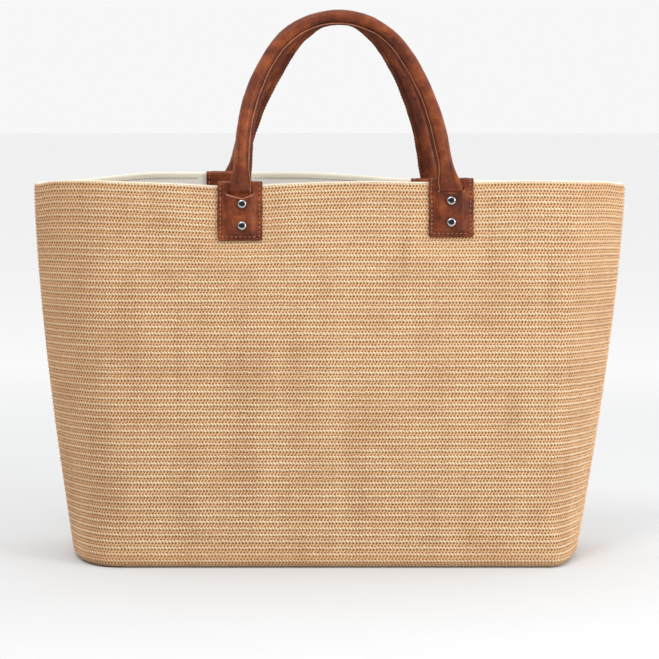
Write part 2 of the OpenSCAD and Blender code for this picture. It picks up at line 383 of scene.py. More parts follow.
@dataclass(frozen=True)
class StrawKnit:
    """Knitted paper straw: rows of dashes with a painted highlight, and holes between slanting
    strands painted dark as shade.
    """

    ground: Colour = tone(208, 158, 110)
    strand: Colour = tone(246, 206, 160)
    # painted highlight: near-white colour on the raised dashes stands in for light on their tops
    highlit_dash: Colour = tone(255, 250, 222)
    # painted shade: dark brown for the shade inside the holes and gaps between the strands
    hole: Colour = tone(88, 50, 24)
    # darker straw tone for random patches, streaks and fibres, and for the painted shade on the
    # left side
    shade: Colour = tone(180, 126, 84)
    rosy: Colour = tone(222, 158, 122)
    relief: float = 0.0007
    wander: float = 0.55
    sway: float = 0.22
    hole_rows: tuple[tuple[float, float], ...] = ((0.28, 0.5), (0.70, 0.0))
    hole_squash: float = 2.1
    slope: float = 0.9
    # x span in metres over which the painted highlight on the dashes fades towards the sides
    corner: tuple[float, float] = (0.21, 0.27)
    # painted shade: x span in metres over which the left side of the bag is darkened, standing in
    # for less light there
    painted_shade_left: tuple[float, float] = (-0.13, -0.26)

    def holes(self, u: Wire, height: Wire) -> Wire:
        """Round holes between the strands, two for each stitch, where shade is painted.

        Args:
            u: Place along the row, in stitches.
            height: Height in the row, from 0 to 1.

        Returns:
            1 in a hole and 0 outside.
        """
        spots = []
        for level, shift in self.hole_rows:
            across = (u + shift).part() - 0.5
            up = (height - level) * self.hole_squash
            spots.append((across * across + up * up).step(0.12, 0.02))
        return spots[0].most(spots[1])

    def material(self) -> bpy.types.Material:
        """Build the material on the "knit" layout: stitches, rows and looseness.

        Returns:
            The material.
        """
        s = Dress("Straw knit")
        where, stitch, row, looseness = s.layout("knit")
        wander = s.noise(where, 0.9, 2.0) - 0.5
        sway = s.noise(s.place(), 160.0, 1.0) - 0.5
        u = stitch + wander * self.wander
        v = row + sway * self.sway
        holes = self.holes(u, v.part())
        between = (v + 0.5).part()
        level = abs(between - 0.5)
        tilted = u + 0.25 + between * self.slope
        # painted highlight: the raised dashes along the middle of each row
        highlit_dash = level.step(0.16, 0.05) * abs(tilted.part() - 0.5).step(0.34, 0.14)
        # painted shade: the gaps between the dashes
        gap = level.step(0.16, 0.06) * abs((tilted + 0.5).part() - 0.5).step(0.24, 0.08)
        slant = ((u + v) * (2 * math.pi)).wave() * 0.5 + 0.5
        cross = ((u - v) * (2 * math.pi)).wave() * 0.5 + 0.5
        strands = slant.most(cross).step(0.55, 1.0)
        fibre = s.noise(s.place((400.0, 400.0, 2600.0)), 1.0, 2.0)
        patchy = s.noise(s.place(), 26.0, 3.0)
        streak = s.noise(s.place((8.0, 8.0, 164.0)), 1.0, 1.0)
        drape = s.noise(s.place((48.0, 48.0, 3.0)), 1.0, 2.0)
        flush = s.noise(s.place((120.0, 120.0, 300.0)), 1.0, 2.0)
        across = s.parts(s.place())[0]
        # the painted highlight on the dashes is weaker towards the sides of the bag
        highlight_fade = 1 - 0.45 * abs(across).step(*self.corner)
        base = s.layered(
            self.ground,
            (strands * 0.85, self.strand),
            (flush.step(0.5, 0.78) * 0.4, self.rosy),
            (patchy.step(0.62, 0.32) * 0.2, self.shade),
            (streak.step(0.35, 0.8) * 0.35, self.strand),
            (drape.step(0.5, 0.75) * 0.3, self.strand),
            (drape.step(0.48, 0.25) * 0.25, self.shade),
            # painted shade in the gaps and holes between the strands
            (gap * 0.4, self.hole),
            (holes * 0.92, self.hole),
            # painted highlight on the dashes
            (highlit_dash * highlight_fade * (0.62 + 0.38 * patchy.step(0.3, 0.6)), self.highlit_dash),
            (fibre.step(0.62, 0.3) * 0.28, self.shade),
            (looseness * 0.35, self.ground),
            # painted shade towards the left side of the bag
            (across.step(*self.painted_shade_left) * 0.2, self.shade),
        )
        bulge = strands * 0.35 + highlit_dash * 0.8 - holes * 0.9 + fibre * 0.12
        return s.finish(
            Base_Color=base,
            Roughness=0.72 + 0.2 * holes - 0.12 * highlit_dash,
            Specular_IOR_Level=0.28,
            Normal=s.relief(bulge, self.relief),
        )


@dataclass(frozen=True)
class LiningCloth:
    """Off-white plain-weave cotton with a cream folded edge under the rim."""

    body: Colour = tone(254, 250, 243)
    edge: Colour = tone(255, 248, 228)
    soil: Colour = tone(236, 230, 219)
    weave: float = 0.00025
    pitch: float = 0.9
    hem: tuple[float, float] = (5.0, 4.4)

    def material(self) -> bpy.types.Material:
        """Build the material on the "cloth" layout: run and depth below the edge, in mm.

        Returns:
            The material.
        """
        s = Dress("Lining cotton")
        _, run, depth, _ = s.layout("cloth")
        warp, weft = ((way * (2 * math.pi / self.pitch)).wave() for way in (run, depth))
        slub = s.noise(s.place((60.0, 60.0, 700.0)), 1.0, 2.0)
        cloud = s.noise(s.place(), 22.0, 2.0)
        base = s.layered(
            self.body,
            (cloud.step(0.4, 0.75) * 0.3, self.soil),
            ((warp * weft).step(0.2, 1.0) * 0.18, self.soil),
            (depth.step(*self.hem), self.edge),
        )
        return s.finish(
            Base_Color=base,
            Roughness=0.86 + 0.1 * slub,
            Specular_IOR_Level=0.2,
            Normal=s.relief(warp * 0.3 + weft * 0.3 + slub * 0.5, self.weave),
        )


@dataclass(frozen=True)
class Leather:
    """Satin waxed leather with grain, pulled-up lighter areas and dark worn edges."""

    body: Colour = tone(112, 48, 19)
    deep: Colour = tone(60, 22, 10)
    pull: Colour = tone(154, 78, 34)
    raw: Colour = tone(226, 158, 124)
    grain: float = 0.00022

    def material(self) -> bpy.types.Material:
        """Build the material on the "hide" layout: raw edge, worn edge and painted shade in
        creases.

        Returns:
            The material.
        """
        s = Dress("Brown leather")
        _, raw, worn, crease_shade = s.layout("hide")
        where = s.place()
        cloud = s.noise(where, 60.0, 4.0)
        fleck = s.noise(where, 420.0, 3.0)
        pores = s.cells(where, 1500.0)
        wrinkle = s.cells(s.place((1.0, 1.0, 0.45)), 330.0)
        base = s.layered(
            self.body,
            (cloud.step(0.42, 0.72), self.pull),
            (cloud.step(0.48, 0.28) * 0.7, self.deep),
            (fleck.step(0.5, 0.75) * 0.4, self.pull),
            (fleck.step(0.42, 0.2) * 0.45, self.deep),
            (wrinkle.step(0.06, 0.0) * 0.35, self.deep),
            # painted shade: darker in the stitch grooves, in the dimples round the rivets and where
            # the handle's flaps meet the roll
            (crease_shade * 0.6, self.deep),
            (worn * 0.75, self.deep),
            (raw * (0.75 + 0.25 * fleck), self.raw),
        )
        bulge = pores.step(0.0, 0.16) * 0.45 + wrinkle.step(0.0, 0.12) * 0.5 + cloud * 1.5
        return s.finish(
            Base_Color=base,
            Roughness=0.3 + 0.22 * fleck + 0.3 * raw + 0.1 * worn,
            Specular_IOR_Level=0.22,
            Coat_Weight=0.09,
            Coat_Roughness=0.25,
            Normal=s.relief(bulge, self.grain),
        )


@dataclass(frozen=True)
class Thread:
    """Twisted sewing thread."""

    name: str
    body: Colour
    dark: Colour

    def material(self) -> bpy.types.Material:
        """Build the material with a fine twist.

        Returns:
            The material.
        """
        s = Dress(self.name)
        twist = s.noise(s.place((2200.0, 900.0, 2200.0)), 1.0, 2.0)
        base = s.mix(twist.step(0.4, 0.7), self.dark, self.body)
        return s.finish(
            Base_Color=base,
            Roughness=0.6 + 0.15 * twist,
            Specular_IOR_Level=0.35,
            Normal=s.relief(twist, 0.00015),
        )


@dataclass(frozen=True)
class Nickel:
    """Polished dark nickel with hairline marks and a little tarnish."""

    body: Colour = tone(178, 178, 182)
    dull: Colour = tone(112, 110, 108)

    def material(self) -> bpy.types.Material:
        """Build the material.

        Returns:
            The material.
        """
        s = Dress("Polished nickel")
        cloud = s.noise(s.place(), 300.0, 3.0)
        scratch = s.noise(s.place((900.0, 900.0, 5200.0)), 1.0, 2.0)
        base = s.mix(cloud.step(0.5, 0.8) * 0.5, self.body, self.dull)
        return s.finish(
            Base_Color=base,
            Metallic=1.0,
            Roughness=0.05 + 0.08 * cloud.step(0.45, 0.8) + 0.04 * scratch,
            Normal=s.relief(scratch.step(0.4, 0.6), 0.000012),
        )


@dataclass(frozen=True)
class Fibre:
    """Pressed board or twisted cotton cord, by its colours and the stretch of its fibres."""

    name: str
    body: Colour
    dark: Colour
    stretch: tuple[float, float, float]

    def material(self) -> bpy.types.Material:
        """Build the material.

        Returns:
            The material.
        """
        s = Dress(self.name)
        strands = s.noise(s.place(self.stretch), 1.0, 4.0)
        cloud = s.noise(s.place(), 35.0, 3.0)
        base = s.layered(
            self.dark,
            (strands.step(0.35, 0.7), self.body),
            (cloud.step(0.5, 0.8) * 0.3, self.dark),
        )
        return s.finish(
            Base_Color=base,
            Roughness=0.8 + 0.12 * strands,
            Specular_IOR_Level=0.2,
            Normal=s.relief(strands, 0.0003),
        )


@dataclass(frozen=True)
class PaleFloor:
    """Seamless matt studio floor, painted lighter with distance from the bag."""

    body: Colour = tone(203, 204, 205)
    body_2: Colour = tone(200, 201, 202)
    # painted light: the far floor's lighter colour stands in for lamp light that falls off with
    # distance
    far: Colour = tone(220, 220, 220)

    def material(self) -> bpy.types.Material:
        """Build the material.

        Returns:
            The material.
        """
        s = Dress("Pale floor")
        grain = s.noise(s.place(), 9.0, 2.0)
        x, y, _ = s.parts(s.place())
        base = s.layered(
            self.body,
            (grain.step(0.3, 0.7) * 0.25, self.body_2),
            # painted light: lighter away from the middle, so the far floor matches the backdrop
            ((x * x + y * y).step(0.1, 3.0), self.far),
        )
        return s.finish(Base_Color=base, Roughness=0.95, Specular_IOR_Level=0.0)


class Slot(Enum):
    """The record's material slots, named along with each new piece."""

    STRAW = "straw"
    LINING = "lining"
    LEATHER = "leather"
    NICKEL = "nickel"


class Wardrobe:
    """All materials of the bag, made once."""

    def __init__(self) -> None:
        """Make the materials."""
        self.straw = StrawKnit().material()
        self.lining = LiningCloth().material()
        self.leather = Leather().material()
        self.nickel = Nickel().material()
        self.board = Fibre(
            "Pressed board", tone(176, 156, 128), tone(128, 108, 84), (90.0, 90.0, 400.0)
        ).material()
        self.cord = Fibre(
            "Cotton cord", tone(226, 216, 192), tone(180, 166, 138), (500.0, 500.0, 160.0)
        ).material()
        self.leather_thread = Thread(
            "Leather thread", tone(205, 140, 108), tone(150, 84, 58)
        ).material()
        self.rim_thread = Thread(
            "Olive thread", tone(150, 138, 96), tone(110, 98, 64)
        ).material()
        self.straw_thread = Thread(
            "Straw thread", tone(214, 168, 118), tone(150, 106, 66)
        ).material()


# ---------------------------------------------------------------------------------------------
# Mesh helpers
# ---------------------------------------------------------------------------------------------


@dataclass
class Skin:
    """Points in millimetres with their faces, gathered before they become an object."""

    points: list[Array] = field(default_factory=list)
    faces: list[tuple[int, ...]] = field(default_factory=list)
    marks: list[Array] = field(default_factory=list)
    count: int = 0

    def add(self, points: Array, faces: list[tuple[int, ...]], marks: Array | None = None) -> None:
        """Add a patch of mesh.

        Args:
            points: Its points, one row each.
            faces: Its faces, numbered from its own first point.
            marks: Its layout values, one row of three for each point, or None for zeros.
        """
        self.points.append(points)
        self.marks.append(np.zeros_like(points) if marks is None else marks)
        self.faces.extend(tuple(i + self.count for i in face) for face in faces)
        self.count += len(points)

    def build(self, name: str, finish: bpy.types.Material, layout: str = "") -> bpy.types.Object:
        """Make the object, with its normals turned outwards.

        Args:
            name: Name of the piece.
            finish: Its material.
            layout: Name of the vector attribute that holds the marks, or none.

        Returns:
            The object, in metres.
        """
        mesh = bpy.data.meshes.new(name)
        mesh.from_pydata((np.concatenate(self.points) * MM).tolist(), [], self.faces)
        work = bmesh.new()
        work.from_mesh(mesh)
        bmesh.ops.recalc_face_normals(work, faces=work.faces)
        work.to_mesh(mesh)
        work.free()
        mesh.polygons.foreach_set("use_smooth", [True] * len(mesh.polygons))
        if layout:
            store = mesh.attributes.new(layout, "FLOAT_VECTOR", "POINT")
            store.data.foreach_set("vector", np.concatenate(self.marks).astype(np.float32).ravel())
        mesh.materials.append(finish)
        return shown(name, mesh)


def shown(name: str, data: bpy.types.ID) -> bpy.types.Object:
    """Put a mesh, light or camera in the scene as an object."""
    thing = bpy.data.objects.new(name, data)
    bpy.context.scene.collection.objects.link(thing)
    return thing


def one_piece(
    name: str,
    finish: bpy.types.Material,
    mesh: tuple[Array, list],
    layout: str,
    *marks: Array,
) -> bpy.types.Object:
    """Make an object of one mesh.

    Args:
        name: Name of the piece.
        finish: Its material.
        mesh: Its points and faces.
        layout: Name of the vector attribute that holds the marks.
        marks: Layout values of its points, one grid after another.

    Returns:
        The object.
    """
    skin = Skin()
    skin.add(*mesh, np.concatenate([grid.reshape(-1, 3) for grid in marks]))
    return skin.build(name, finish, layout)


def grid_faces(rows: int, columns: int) -> list[tuple[int, ...]]:
    """Quads of a grid of points, row by row.

    Args:
        rows: Number of rows of points.
        columns: Number of points in a row.

    Returns:
        The quads.
    """
    first = (np.arange(rows - 1)[:, None] * columns + np.arange(columns - 1)).ravel()
    quads = np.stack([first, first + 1, first + columns + 1, first + columns], axis=1)
    return [tuple(q) for q in quads.tolist()]


def closed_sheet(outer: Array, inner: Array, hole: Array | None = None) -> tuple[Array, list]:
    """Join two grids of one size into a closed sheet with walls round its edges.

    Args:
        outer: Points of one face, rows by columns by 3.
        inner: Points of the other face.
        hole: Cells that are left open, rows - 1 by columns - 1, or None.

    Returns:
        The points and the faces.
    """
    rows, columns = outer.shape[:2]
    size = rows * columns
    quads = grid_faces(rows, columns)
    if hole is not None:
        quads = [q for q, gone in zip(quads, hole.ravel().tolist()) if not gone]
    edges = set()
    for q in quads:
        for a, b in zip(q, q[1:] + q[:1]):
            if (b, a) in edges:
                edges.remove((b, a))
            else:
                edges.add((a, b))
    back = [tuple(i + size for i in reversed(q)) for q in quads]
    walls = [(b, a, a + size, b + size) for a, b in sorted(edges)]
    points = np.concatenate([outer.reshape(-1, 3), inner.reshape(-1, 3)])
    return points, quads + back + walls


def backed_shell(outer: Array, inner: Array, step: int) -> tuple[Array, list]:
    """Join a fine outer grid and a coarse inner one into a closed shell.

    Args:
        outer: Points of the fine face, rows by columns by 3.
        inner: Points of the coarse face, one for each step points of the fine one.
        step: Fine cells for each coarse cell, in both directions.

    Returns:
        The points and the faces.
    """
    rows, columns = outer.shape[:2]
    low_rows, low_columns = inner.shape[:2]
    size = rows * columns
    faces = grid_faces(rows, columns)
    faces += [tuple(i + size for i in reversed(q)) for q in grid_faces(low_rows, low_columns)]
    runs = [
        (1, 0, 1, 0, low_columns),
        (1, (rows - 1) * columns, 1, (low_rows - 1) * low_columns, low_columns),
        (columns, 0, low_columns, 0, low_rows),
        (columns, columns - 1, low_columns, low_columns - 1, low_rows),
    ]
    for fine, fine_start, coarse, coarse_start, count in runs:
        for k in range(count - 1):
            edge = [fine_start + fine * (k * step + i) for i in range(step + 1)]
            below = [size + coarse_start + coarse * (k + 1), size + coarse_start + coarse * k]
            faces.append(tuple(edge + below))
    points = np.concatenate([outer.reshape(-1, 3), inner.reshape(-1, 3)])
    return points, faces


def disc_faces(sides: int, rings: int) -> list[tuple[int, ...]]:
    """Faces of a disc: a fan round its middle point, and quads between its rings.

    Args:
        sides: Points in a ring.
        rings: Number of rings round the middle point.

    Returns:
        The faces.
    """
    faces = [(0, 1 + k, 1 + (k + 1) % sides) for k in range(sides)]
    for ring in range(rings - 1):
        a = 1 + ring * sides
        for k in range(sides):
            n = (k + 1) % sides
            faces.append((a + k, a + sides + k, a + sides + n, a + n))
    return faces


def turned(profile: list[tuple[float, float]], sides: int) -> tuple[Array, list]:
    """Turn a profile round the local y axis, closed at both ends on the axis.

    Args:
        profile: Radius and distance along the axis, from end to end.
        sides: Number of sides.

    Returns:
        The points, with y along the axis, and the faces.
    """
    angles = np.arange(sides) * 2 * math.pi / sides
    points = [[0.0, profile[0][1], 0.0]]
    for radius, along in profile[1:-1]:
        points += [[radius * math.cos(a), along, radius * math.sin(a)] for a in angles]
    points.append([0.0, profile[-1][1], 0.0])
    last = len(points) - 1
    a = last - sides
    end = [(a + k, last, a + (k + 1) % sides) for k in range(sides)]
    return np.array(points), disc_faces(sides, len(profile) - 2) + end


def stitch(start: Array, end: Array, out: Array, radius: float, sink: float) -> tuple[Array, list]:
    """One stitch: a bowed bead of thread whose ends dip into the cloth.

    Args:
        start: Where it comes up.
        end: Where it goes down.
        out: Unit vector out of the cloth.
        radius: Half of its thickness.
        sink: How far its ends dip.

    Returns:
        The points and the faces.
    """
    run = (end - start) / np.linalg.norm(end - start)
    side = np.cross(run, out)
    rings, sides = 5, 6
    points = []
    for i in range(rings):
        t = i / (rings - 1)
        bow = math.sin(math.pi * t)
        centre = start + (end - start) * t + out * (bow * sink - sink * 0.5)
        size = radius * (0.35 + 0.65 * bow**0.5)
        for k in range(sides):
            a = 2 * math.pi * k / sides
            points.append(centre + size * (math.cos(a) * side + math.sin(a) * out))
    faces = [tuple(range(sides - 1, -1, -1))]
    for i in range(rings - 1):
        for k in range(sides):
            n = (k + 1) % sides
            a = i * sides
            faces.append((a + k, a + n, a + sides + n, a + sides + k))
    faces.append(tuple((rings - 1) * sides + k for k in range(sides)))
    return np.array(points), faces


def put(piece: bpy.types.Object, slot: Slot, body: str, *nodes: str) -> None:
    """Enter a finished piece in the frame.

    Args:
        piece: The piece.
        slot: The record's material slot; not used.
        body: The body that it rides on, or "" for one that is left unattached.
        nodes: CAD nodes that it stands for.
    """
    if body:
        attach(piece, body)
    if nodes:
        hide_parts(*nodes)
    LOG.info("%s: %d faces on %s", piece.name, len(piece.data.polygons), body or "a joint")


# ---------------------------------------------------------------------------------------------
# The soft body
# ---------------------------------------------------------------------------------------------


class Side(Enum):
    """Which wall of the bag."""

    FRONT = "front"
    BACK = "back"

    def placed(self, points: Array) -> Array:
        """Turn points of the front wall half a turn for the back one."""
        return points if self is Side.FRONT else points * (-1.0, -1.0, 1.0)

    def across(self, x: Array | float) -> Array | float:
        """Turn an x of the front wall's drawing into the bag's own x, or back."""
        return x if self is Side.FRONT else -x


@dataclass(frozen=True)
class BagForm:
    """Sizes and soft shape of the bag's body; the front wall is drawn and turned for the back."""

    rim_h: float = 357.0
    top_w: float = 564.0
    base_w: float = 484.0
    base_d: float = 164.0
    mouth_d: float = 72.0
    edge_r: float = 14.0
    base_shift: float = -4.0
    straw_t: float = 2.4
    front_patch_x: tuple[float, float] = (-84.0, 114.0)
    back_patch_x: tuple[float, float] = (-98.0, 100.0)
    corner_x: float = 214.0
    corner_gain: float = 26.0
    foot_gain: float = 14.0
    foot_h: float = 55.0
    corner_soft: tuple[float, float] = (40.0, 14.0)
    left_corner: float = 4.0
    seam_pull: float = 0.32
    crown: float = 3.2
    folds: tuple[float, float] = (1.2, 0.3)
    sag: float = 1.6
    pinch: float = 2.0
    rim_bumps: tuple[tuple[float, float, float], ...] = (
        (1.8, -232, 40), (0.9, 40, 34), (1.7, 190, 55), (-3.4, -92, 50)
    )

    @property
    def lean(self) -> float:
        """Lean of a wall, in radians."""
        return math.atan((self.base_d - self.mouth_d) / 2 / (self.rim_h - self.edge_r))

    def half_w(self, z: Array) -> Array:
        """Half width at a height."""
        drop = np.maximum(0, 1 - z / self.rim_h) ** 1.5
        return self.top_w / 2 - (self.top_w - self.base_w) / 2 * drop

    def half_d(self, z: Array) -> Array:
        """Half depth at a height."""
        return self.mouth_d / 2 + (self.rim_h - z) * math.tan(self.lean) - 0.15

    def section(self, z: Array, inset: Array, shares: Array) -> Array:
        """Plan of the front half at some heights, evenly spaced from the left seam to the right.

        Args:
            z: Heights.
            inset: How far inside the outer face each one lies.
            shares: Places along the plan, from 0 to 1.

        Returns:
            Points, heights by shares by 3.
        """
        z, inset = (np.asarray(a, float)[:, None] for a in np.broadcast_arrays(z, inset))
        t = np.linspace(0, 1, 49)
        weights = ((1 - t) ** 3, 3 * (1 - t) ** 2 * t, 3 * (1 - t) * t * t, t**3)
        width, depth = self.half_w(z) - inset, self.half_d(z) - inset
        up = np.clip(z / self.rim_h, 0, 1)
        corner = self.corner_x + self.corner_gain * up**0.8 - inset * 0.85
        corner = corner + self.foot_gain * np.clip(1 - z / self.foot_h, 0, 1)
        sides = []
        for edge, soft in zip((corner + self.left_corner, corner), self.corner_soft):
            xs = (width, width, edge, edge - soft)
            ys = (0 * depth, -self.seam_pull * depth, -depth, -depth)
            sides.append([sum(w * p for w, p in zip(weights, ps)) for ps in (xs, ys)])
        (left_x, left_y), (right_x, right_y) = sides
        x = np.concatenate([-left_x, right_x[:, ::-1]], axis=1)
        y = np.concatenate([left_y, right_y[:, ::-1]], axis=1)
        run = np.cumsum(np.hypot(np.diff(x, axis=1), np.diff(y, axis=1)), axis=1)
        run = np.concatenate([np.zeros((len(run), 1)), run / run[:, -1:]], axis=1)
        plan = [np.stack([np.interp(shares, r, a), np.interp(shares, r, b)], axis=1)
                for r, a, b in zip(run, x, y)]
        points = np.zeros((len(plan), len(shares), 3))
        points[..., :2] = plan
        points[..., 2] = z
        return points

    def wall_run(self, low: float, turn: float, inset: float, high: float, count: int) -> tuple:
        """Heights and insets up one face of a wall, from under the bottom edge to its top.

        Args:
            low: Height of its lowest point.
            turn: Radius of its turned-under edge.
            inset: Inset of the upright part.
            high: Height of its top.
            count: Number of cells.

        Returns:
            The distances along it, the heights and the insets.
        """
        arc = turn * math.pi / 2
        total = arc + (high - low - turn) / math.cos(self.lean)
        run = np.linspace(0, total, count + 1)
        angle = np.minimum(run, arc) / turn
        z = low + turn * (1 - np.cos(angle)) + np.maximum(0, run - arc) * math.cos(self.lean)
        return run, z, inset + turn * (1 - np.sin(angle))

    def rim_rise(self, side: Side, x: Array) -> Array:
        """How far the soft rim stands above or below its plain height.

        Args:
            side: The wall.
            x: Places across the bag, as drawn for the front wall.

        Returns:
            The rise.
        """
        x = side.across(x)
        ends = 2.6 * ease(np.abs(x), 258, 284)
        if side is Side.FRONT:
            return sum(size * hump(x, at, width) for size, at, width in self.rim_bumps) - ends
        lifted = 7.5 * ease(x, -262, -160) * ease(x, 110, -35)
        return lifted - 0.8 * ease(x, 125, 200) - ends * 0.5

    def near_patch(self, side: Side, x: Array, z: Array) -> Array:
        """1 behind a handle patch and 0 away from it."""
        places = self.front_patch_x if side is Side.FRONT else self.back_patch_x
        x = side.across(x)
        beside = sum(ease(np.abs(x - p), 40, 22) for p in places)
        return beside * ease(z, self.rim_h - 76, self.rim_h - 56)

    def soften(self, side: Side, points: Array) -> Array:
        """Give a face of a wall its soft folds, crown and uneven rim.

        Args:
            side: The wall.
            points: Points of the front wall's drawing, rows by columns by 3.

        Returns:
            The moved points.
        """
        x, z = points[..., 0], points[..., 2]
        up = np.clip(z / self.rim_h, 0, 1.01)
        flat = 1 - self.near_patch(side, x, z)
        middle = 1 - np.clip(np.abs(x) / 262, 0, 1) ** 2.5
        seed = 11 if side is Side.FRONT else 23
        slow = Ripple(seed, 210).at(x, z * 0.8)
        quick = Ripple(seed + 1, 92).at(x * 1.3, z * 0.7)
        crown = self.crown * np.sin(math.pi * np.clip(up, 0, 1)) ** 1.2 * middle
        folds = self.folds[0] * slow + self.folds[1] * quick
        folds = folds * ease(up, 0.06, 0.3) * (0.35 + 0.65 * middle)
        sag = -self.sag * hump(x, 15, 60) * ease(up, 0.72, 1.0)
        pinch = -self.pinch * hump(x, -246, 26) * ease(up, 0.5, 1.0)
        moved = points.copy()
        moved[..., 0] += side.across(self.base_shift) * (1 - up)
        moved[..., 1] -= (crown + folds + sag + pinch) * flat
        moved[..., 2] += self.rim_rise(side, x) * ease(up, 0.7, 1.0)
        return moved

    def on_wall(self, side: Side, x: float, local: Array) -> Array:
        """Place points of a wall's local frame: x along the rim, -y out of it, z up it.

        Args:
            side: The wall.
            x: Place of the frame's origin across the bag.
            local: Points, one row each.

        Returns:
            The points in the bag's frame.
        """
        c, s = math.cos(self.lean), math.sin(self.lean)
        lx, ly, lz = np.moveaxis(np.asarray(local, float), -1, 0)
        points = np.stack([
            lx + side.across(x),
            ly * c + lz * s - self.mouth_d / 2,
            self.rim_h - ly * s + lz * c,
        ], axis=-1)
        return side.placed(points)


def outward(points: Array) -> Array:
    """Unit normals of a grid drawn for the front wall, out of the bag.

    Args:
        points: Points, rows by columns by 3.

    Returns:
        The normals.
    """
    across = np.gradient(points, axis=1)
    along = np.gradient(points, axis=0)
    normal = np.cross(across, along)
    return normal / np.maximum(np.linalg.norm(normal, axis=-1, keepdims=True), 1e-9)


def clear_seam(points: Array, gap: float) -> None:
    """Keep points of the front wall's drawing clear of the plane of the side seams."""
    points[..., 1] = np.minimum(points[..., 1], -gap)


@dataclass
class StrawShell:
    """The knitted shell: a front and a back panel that meet at the side seams, and the base."""

    form: BagForm
    finishes: Wardrobe
    stitches: int = 192
    rows: int = 60
    turn: float = 9.0
    curl_r: float = 1.2
    backing_step: int = 8
    relief: float = 0.42
    cell: tuple[float, float] = (3.2, 6.1)
    seam_gap: float = 0.15

    def face(self, side: Side) -> tuple[Array, Array]:
        """Knitted outer face of a panel, with its rim curled over.

        Args:
            side: The wall.

        Returns:
            The points and their knit layout: stitches, rows and looseness.
        """
        form = self.form
        count = self.rows * 4
        run, z, inset = form.wall_run(0, self.turn, 0, form.rim_h - self.curl_r, count)
        curl = np.linspace(0, math.pi / 2, 9)[1:]
        z = np.concatenate([z, z[-1] + self.curl_r * np.sin(curl)])
        inset = np.concatenate([inset, self.curl_r * (1 - np.cos(curl))])
        pitch = run[-1] / self.rows
        run = np.concatenate([run, run[-1] + self.curl_r * curl])
        columns = self.stitches * 2 + 1
        smooth = form.soften(side, form.section(z, inset, np.linspace(0, 1, columns)))
        x, high = smooth[..., 0], smooth[..., 2]
        stitch_at = np.broadcast_to(np.arange(columns) / 2, x.shape)
        row_at = np.broadcast_to((run / pitch)[:, None], x.shape)
        plain = np.clip(1 - ease(high, 6, 26) + form.near_patch(side, x, high), 0, 1)
        uneven = 1 + 0.35 * Ripple(5, 14).at(stitch_at * self.cell[0], row_at * self.cell[1])
        phase = 2 * math.pi * row_at
        knit = np.cos(phase) - 0.85 * np.sin(phase) * np.cos(2 * math.pi * stitch_at)
        seam = ease(np.minimum(stitch_at, self.stitches - stitch_at), 0, 2.2)
        rounding = ease(row_at, self.rows + 0.28, self.rows)
        lift = self.relief * knit * uneven * (1 - 0.72 * plain) * seam * rounding
        lift -= 0.9 * (1 - seam) + 0.25 * form.near_patch(side, x, high)
        points = smooth + outward(smooth) * lift[..., None]
        clear_seam(points, self.seam_gap)
        return points, np.stack([stitch_at, row_at, plain * 0.6], axis=-1)

    def panel(self, side: Side) -> None:
        """Build one panel.

        Args:
            side: The wall.
        """
        form = self.form
        outer, marks = self.face(side)
        cells = (outer.shape[0] - 1) // self.backing_step
        low = form.straw_t
        _, z, inset = form.wall_run(low, self.turn - low, low, form.rim_h - 0.4, cells)
        shares = np.linspace(0, 1, self.stitches * 2 // self.backing_step + 1)
        inner = form.soften(side, form.section(z, inset, shares))
        clear_seam(inner, self.seam_gap)
        mesh = backed_shell(side.placed(outer), side.placed(inner), self.backing_step)
        within = np.zeros(inner.shape)
        within[..., 0] = shares * self.stitches
        within[..., 1] = np.linspace(0, self.rows, len(inner))[:, None]
        name = f"straw_{side.value}"
        piece = one_piece(name, self.finishes.straw, mesh, "knit", marks, within)
        put(piece, Slot.STRAW, "bag", f"{side.value}_panel")

    def base(self) -> None:
        """Build the straw base, a knitted sheet that closes the bottom."""
        outer, inner = floor_grids(self.form, 0.0, self.turn + 0.5, self.form.straw_t, 97, 24)
        x, y = outer[..., 0], outer[..., 1]
        inside = ease(np.arange(outer.shape[0])[:, None], 0, 2) * np.ones(outer.shape[:2])
        outer[..., 2] += 0.12 * (1 + Ripple(9, 30).at(x, y)) * inside
        marks = np.stack([x / self.cell[0], y / self.cell[1], np.full(x.shape, 0.3)], axis=-1)
        mesh = closed_sheet(outer, inner)
        piece = one_piece("straw_base", self.finishes.straw, mesh, "knit", marks, marks)
        put(piece, Slot.STRAW, "bag", "base_panel")

    def seam_threads(self) -> None:
        """Sew the side seams: a column of stitches across each one."""
        form = self.form
        skin = Skin()
        _, z, inset = form.wall_run(0, self.turn, 0, form.rim_h - 3, 108)
        for column, share in ((-1, 0.0), (1, 1.0)):
            line = form.soften(Side.FRONT, form.section(z, inset, np.array([share])))[:, 0]
            for low, high in zip(line[6:-1], line[7:]):
                out = np.array([float(column), 0.0, 0.0])
                middle = (low + high) / 2 - out * 0.55
                reach = np.array([0.0, 1.5, 0.5])
                skin.add(*stitch(middle - reach, middle + reach, out, 0.42, 0.5))
        put(skin.build("straw_seam_threads", self.finishes.straw_thread), Slot.STRAW, "bag")

    def build(self) -> None:
        """Build the panels, the base and the seams."""
        for side in Side:
            self.panel(side)
        self.base()
        self.seam_threads()


def floor_grids(
    form: BagForm, z: float, inset: float, thick: float, columns: int, rows: int
) -> tuple[Array, Array]:
    """Two faces of a flat sheet with the outline of the bag's plan.

    Args:
        form: Shape of the bag.
        z: Height of its lower face.
        inset: How far inside the outer face it ends.
        thick: Its thickness.
        columns: Points along the bag.
        rows: Cells across it.

    Returns:
        The lower and the upper face.
    """
    shares = np.linspace(0.006, 0.994, columns)
    front = form.section(np.array([z]), np.array([inset]), shares)[0]
    front[:, 0] += form.base_shift
    back = front * (1.0, -1.0, 1.0)
    t = np.linspace(0, 1, rows + 1)[:, None, None]
    lower = front * (1 - t) + back * t
    upper = lower + np.array([0.0, 0.0, thick])
    return lower, upper


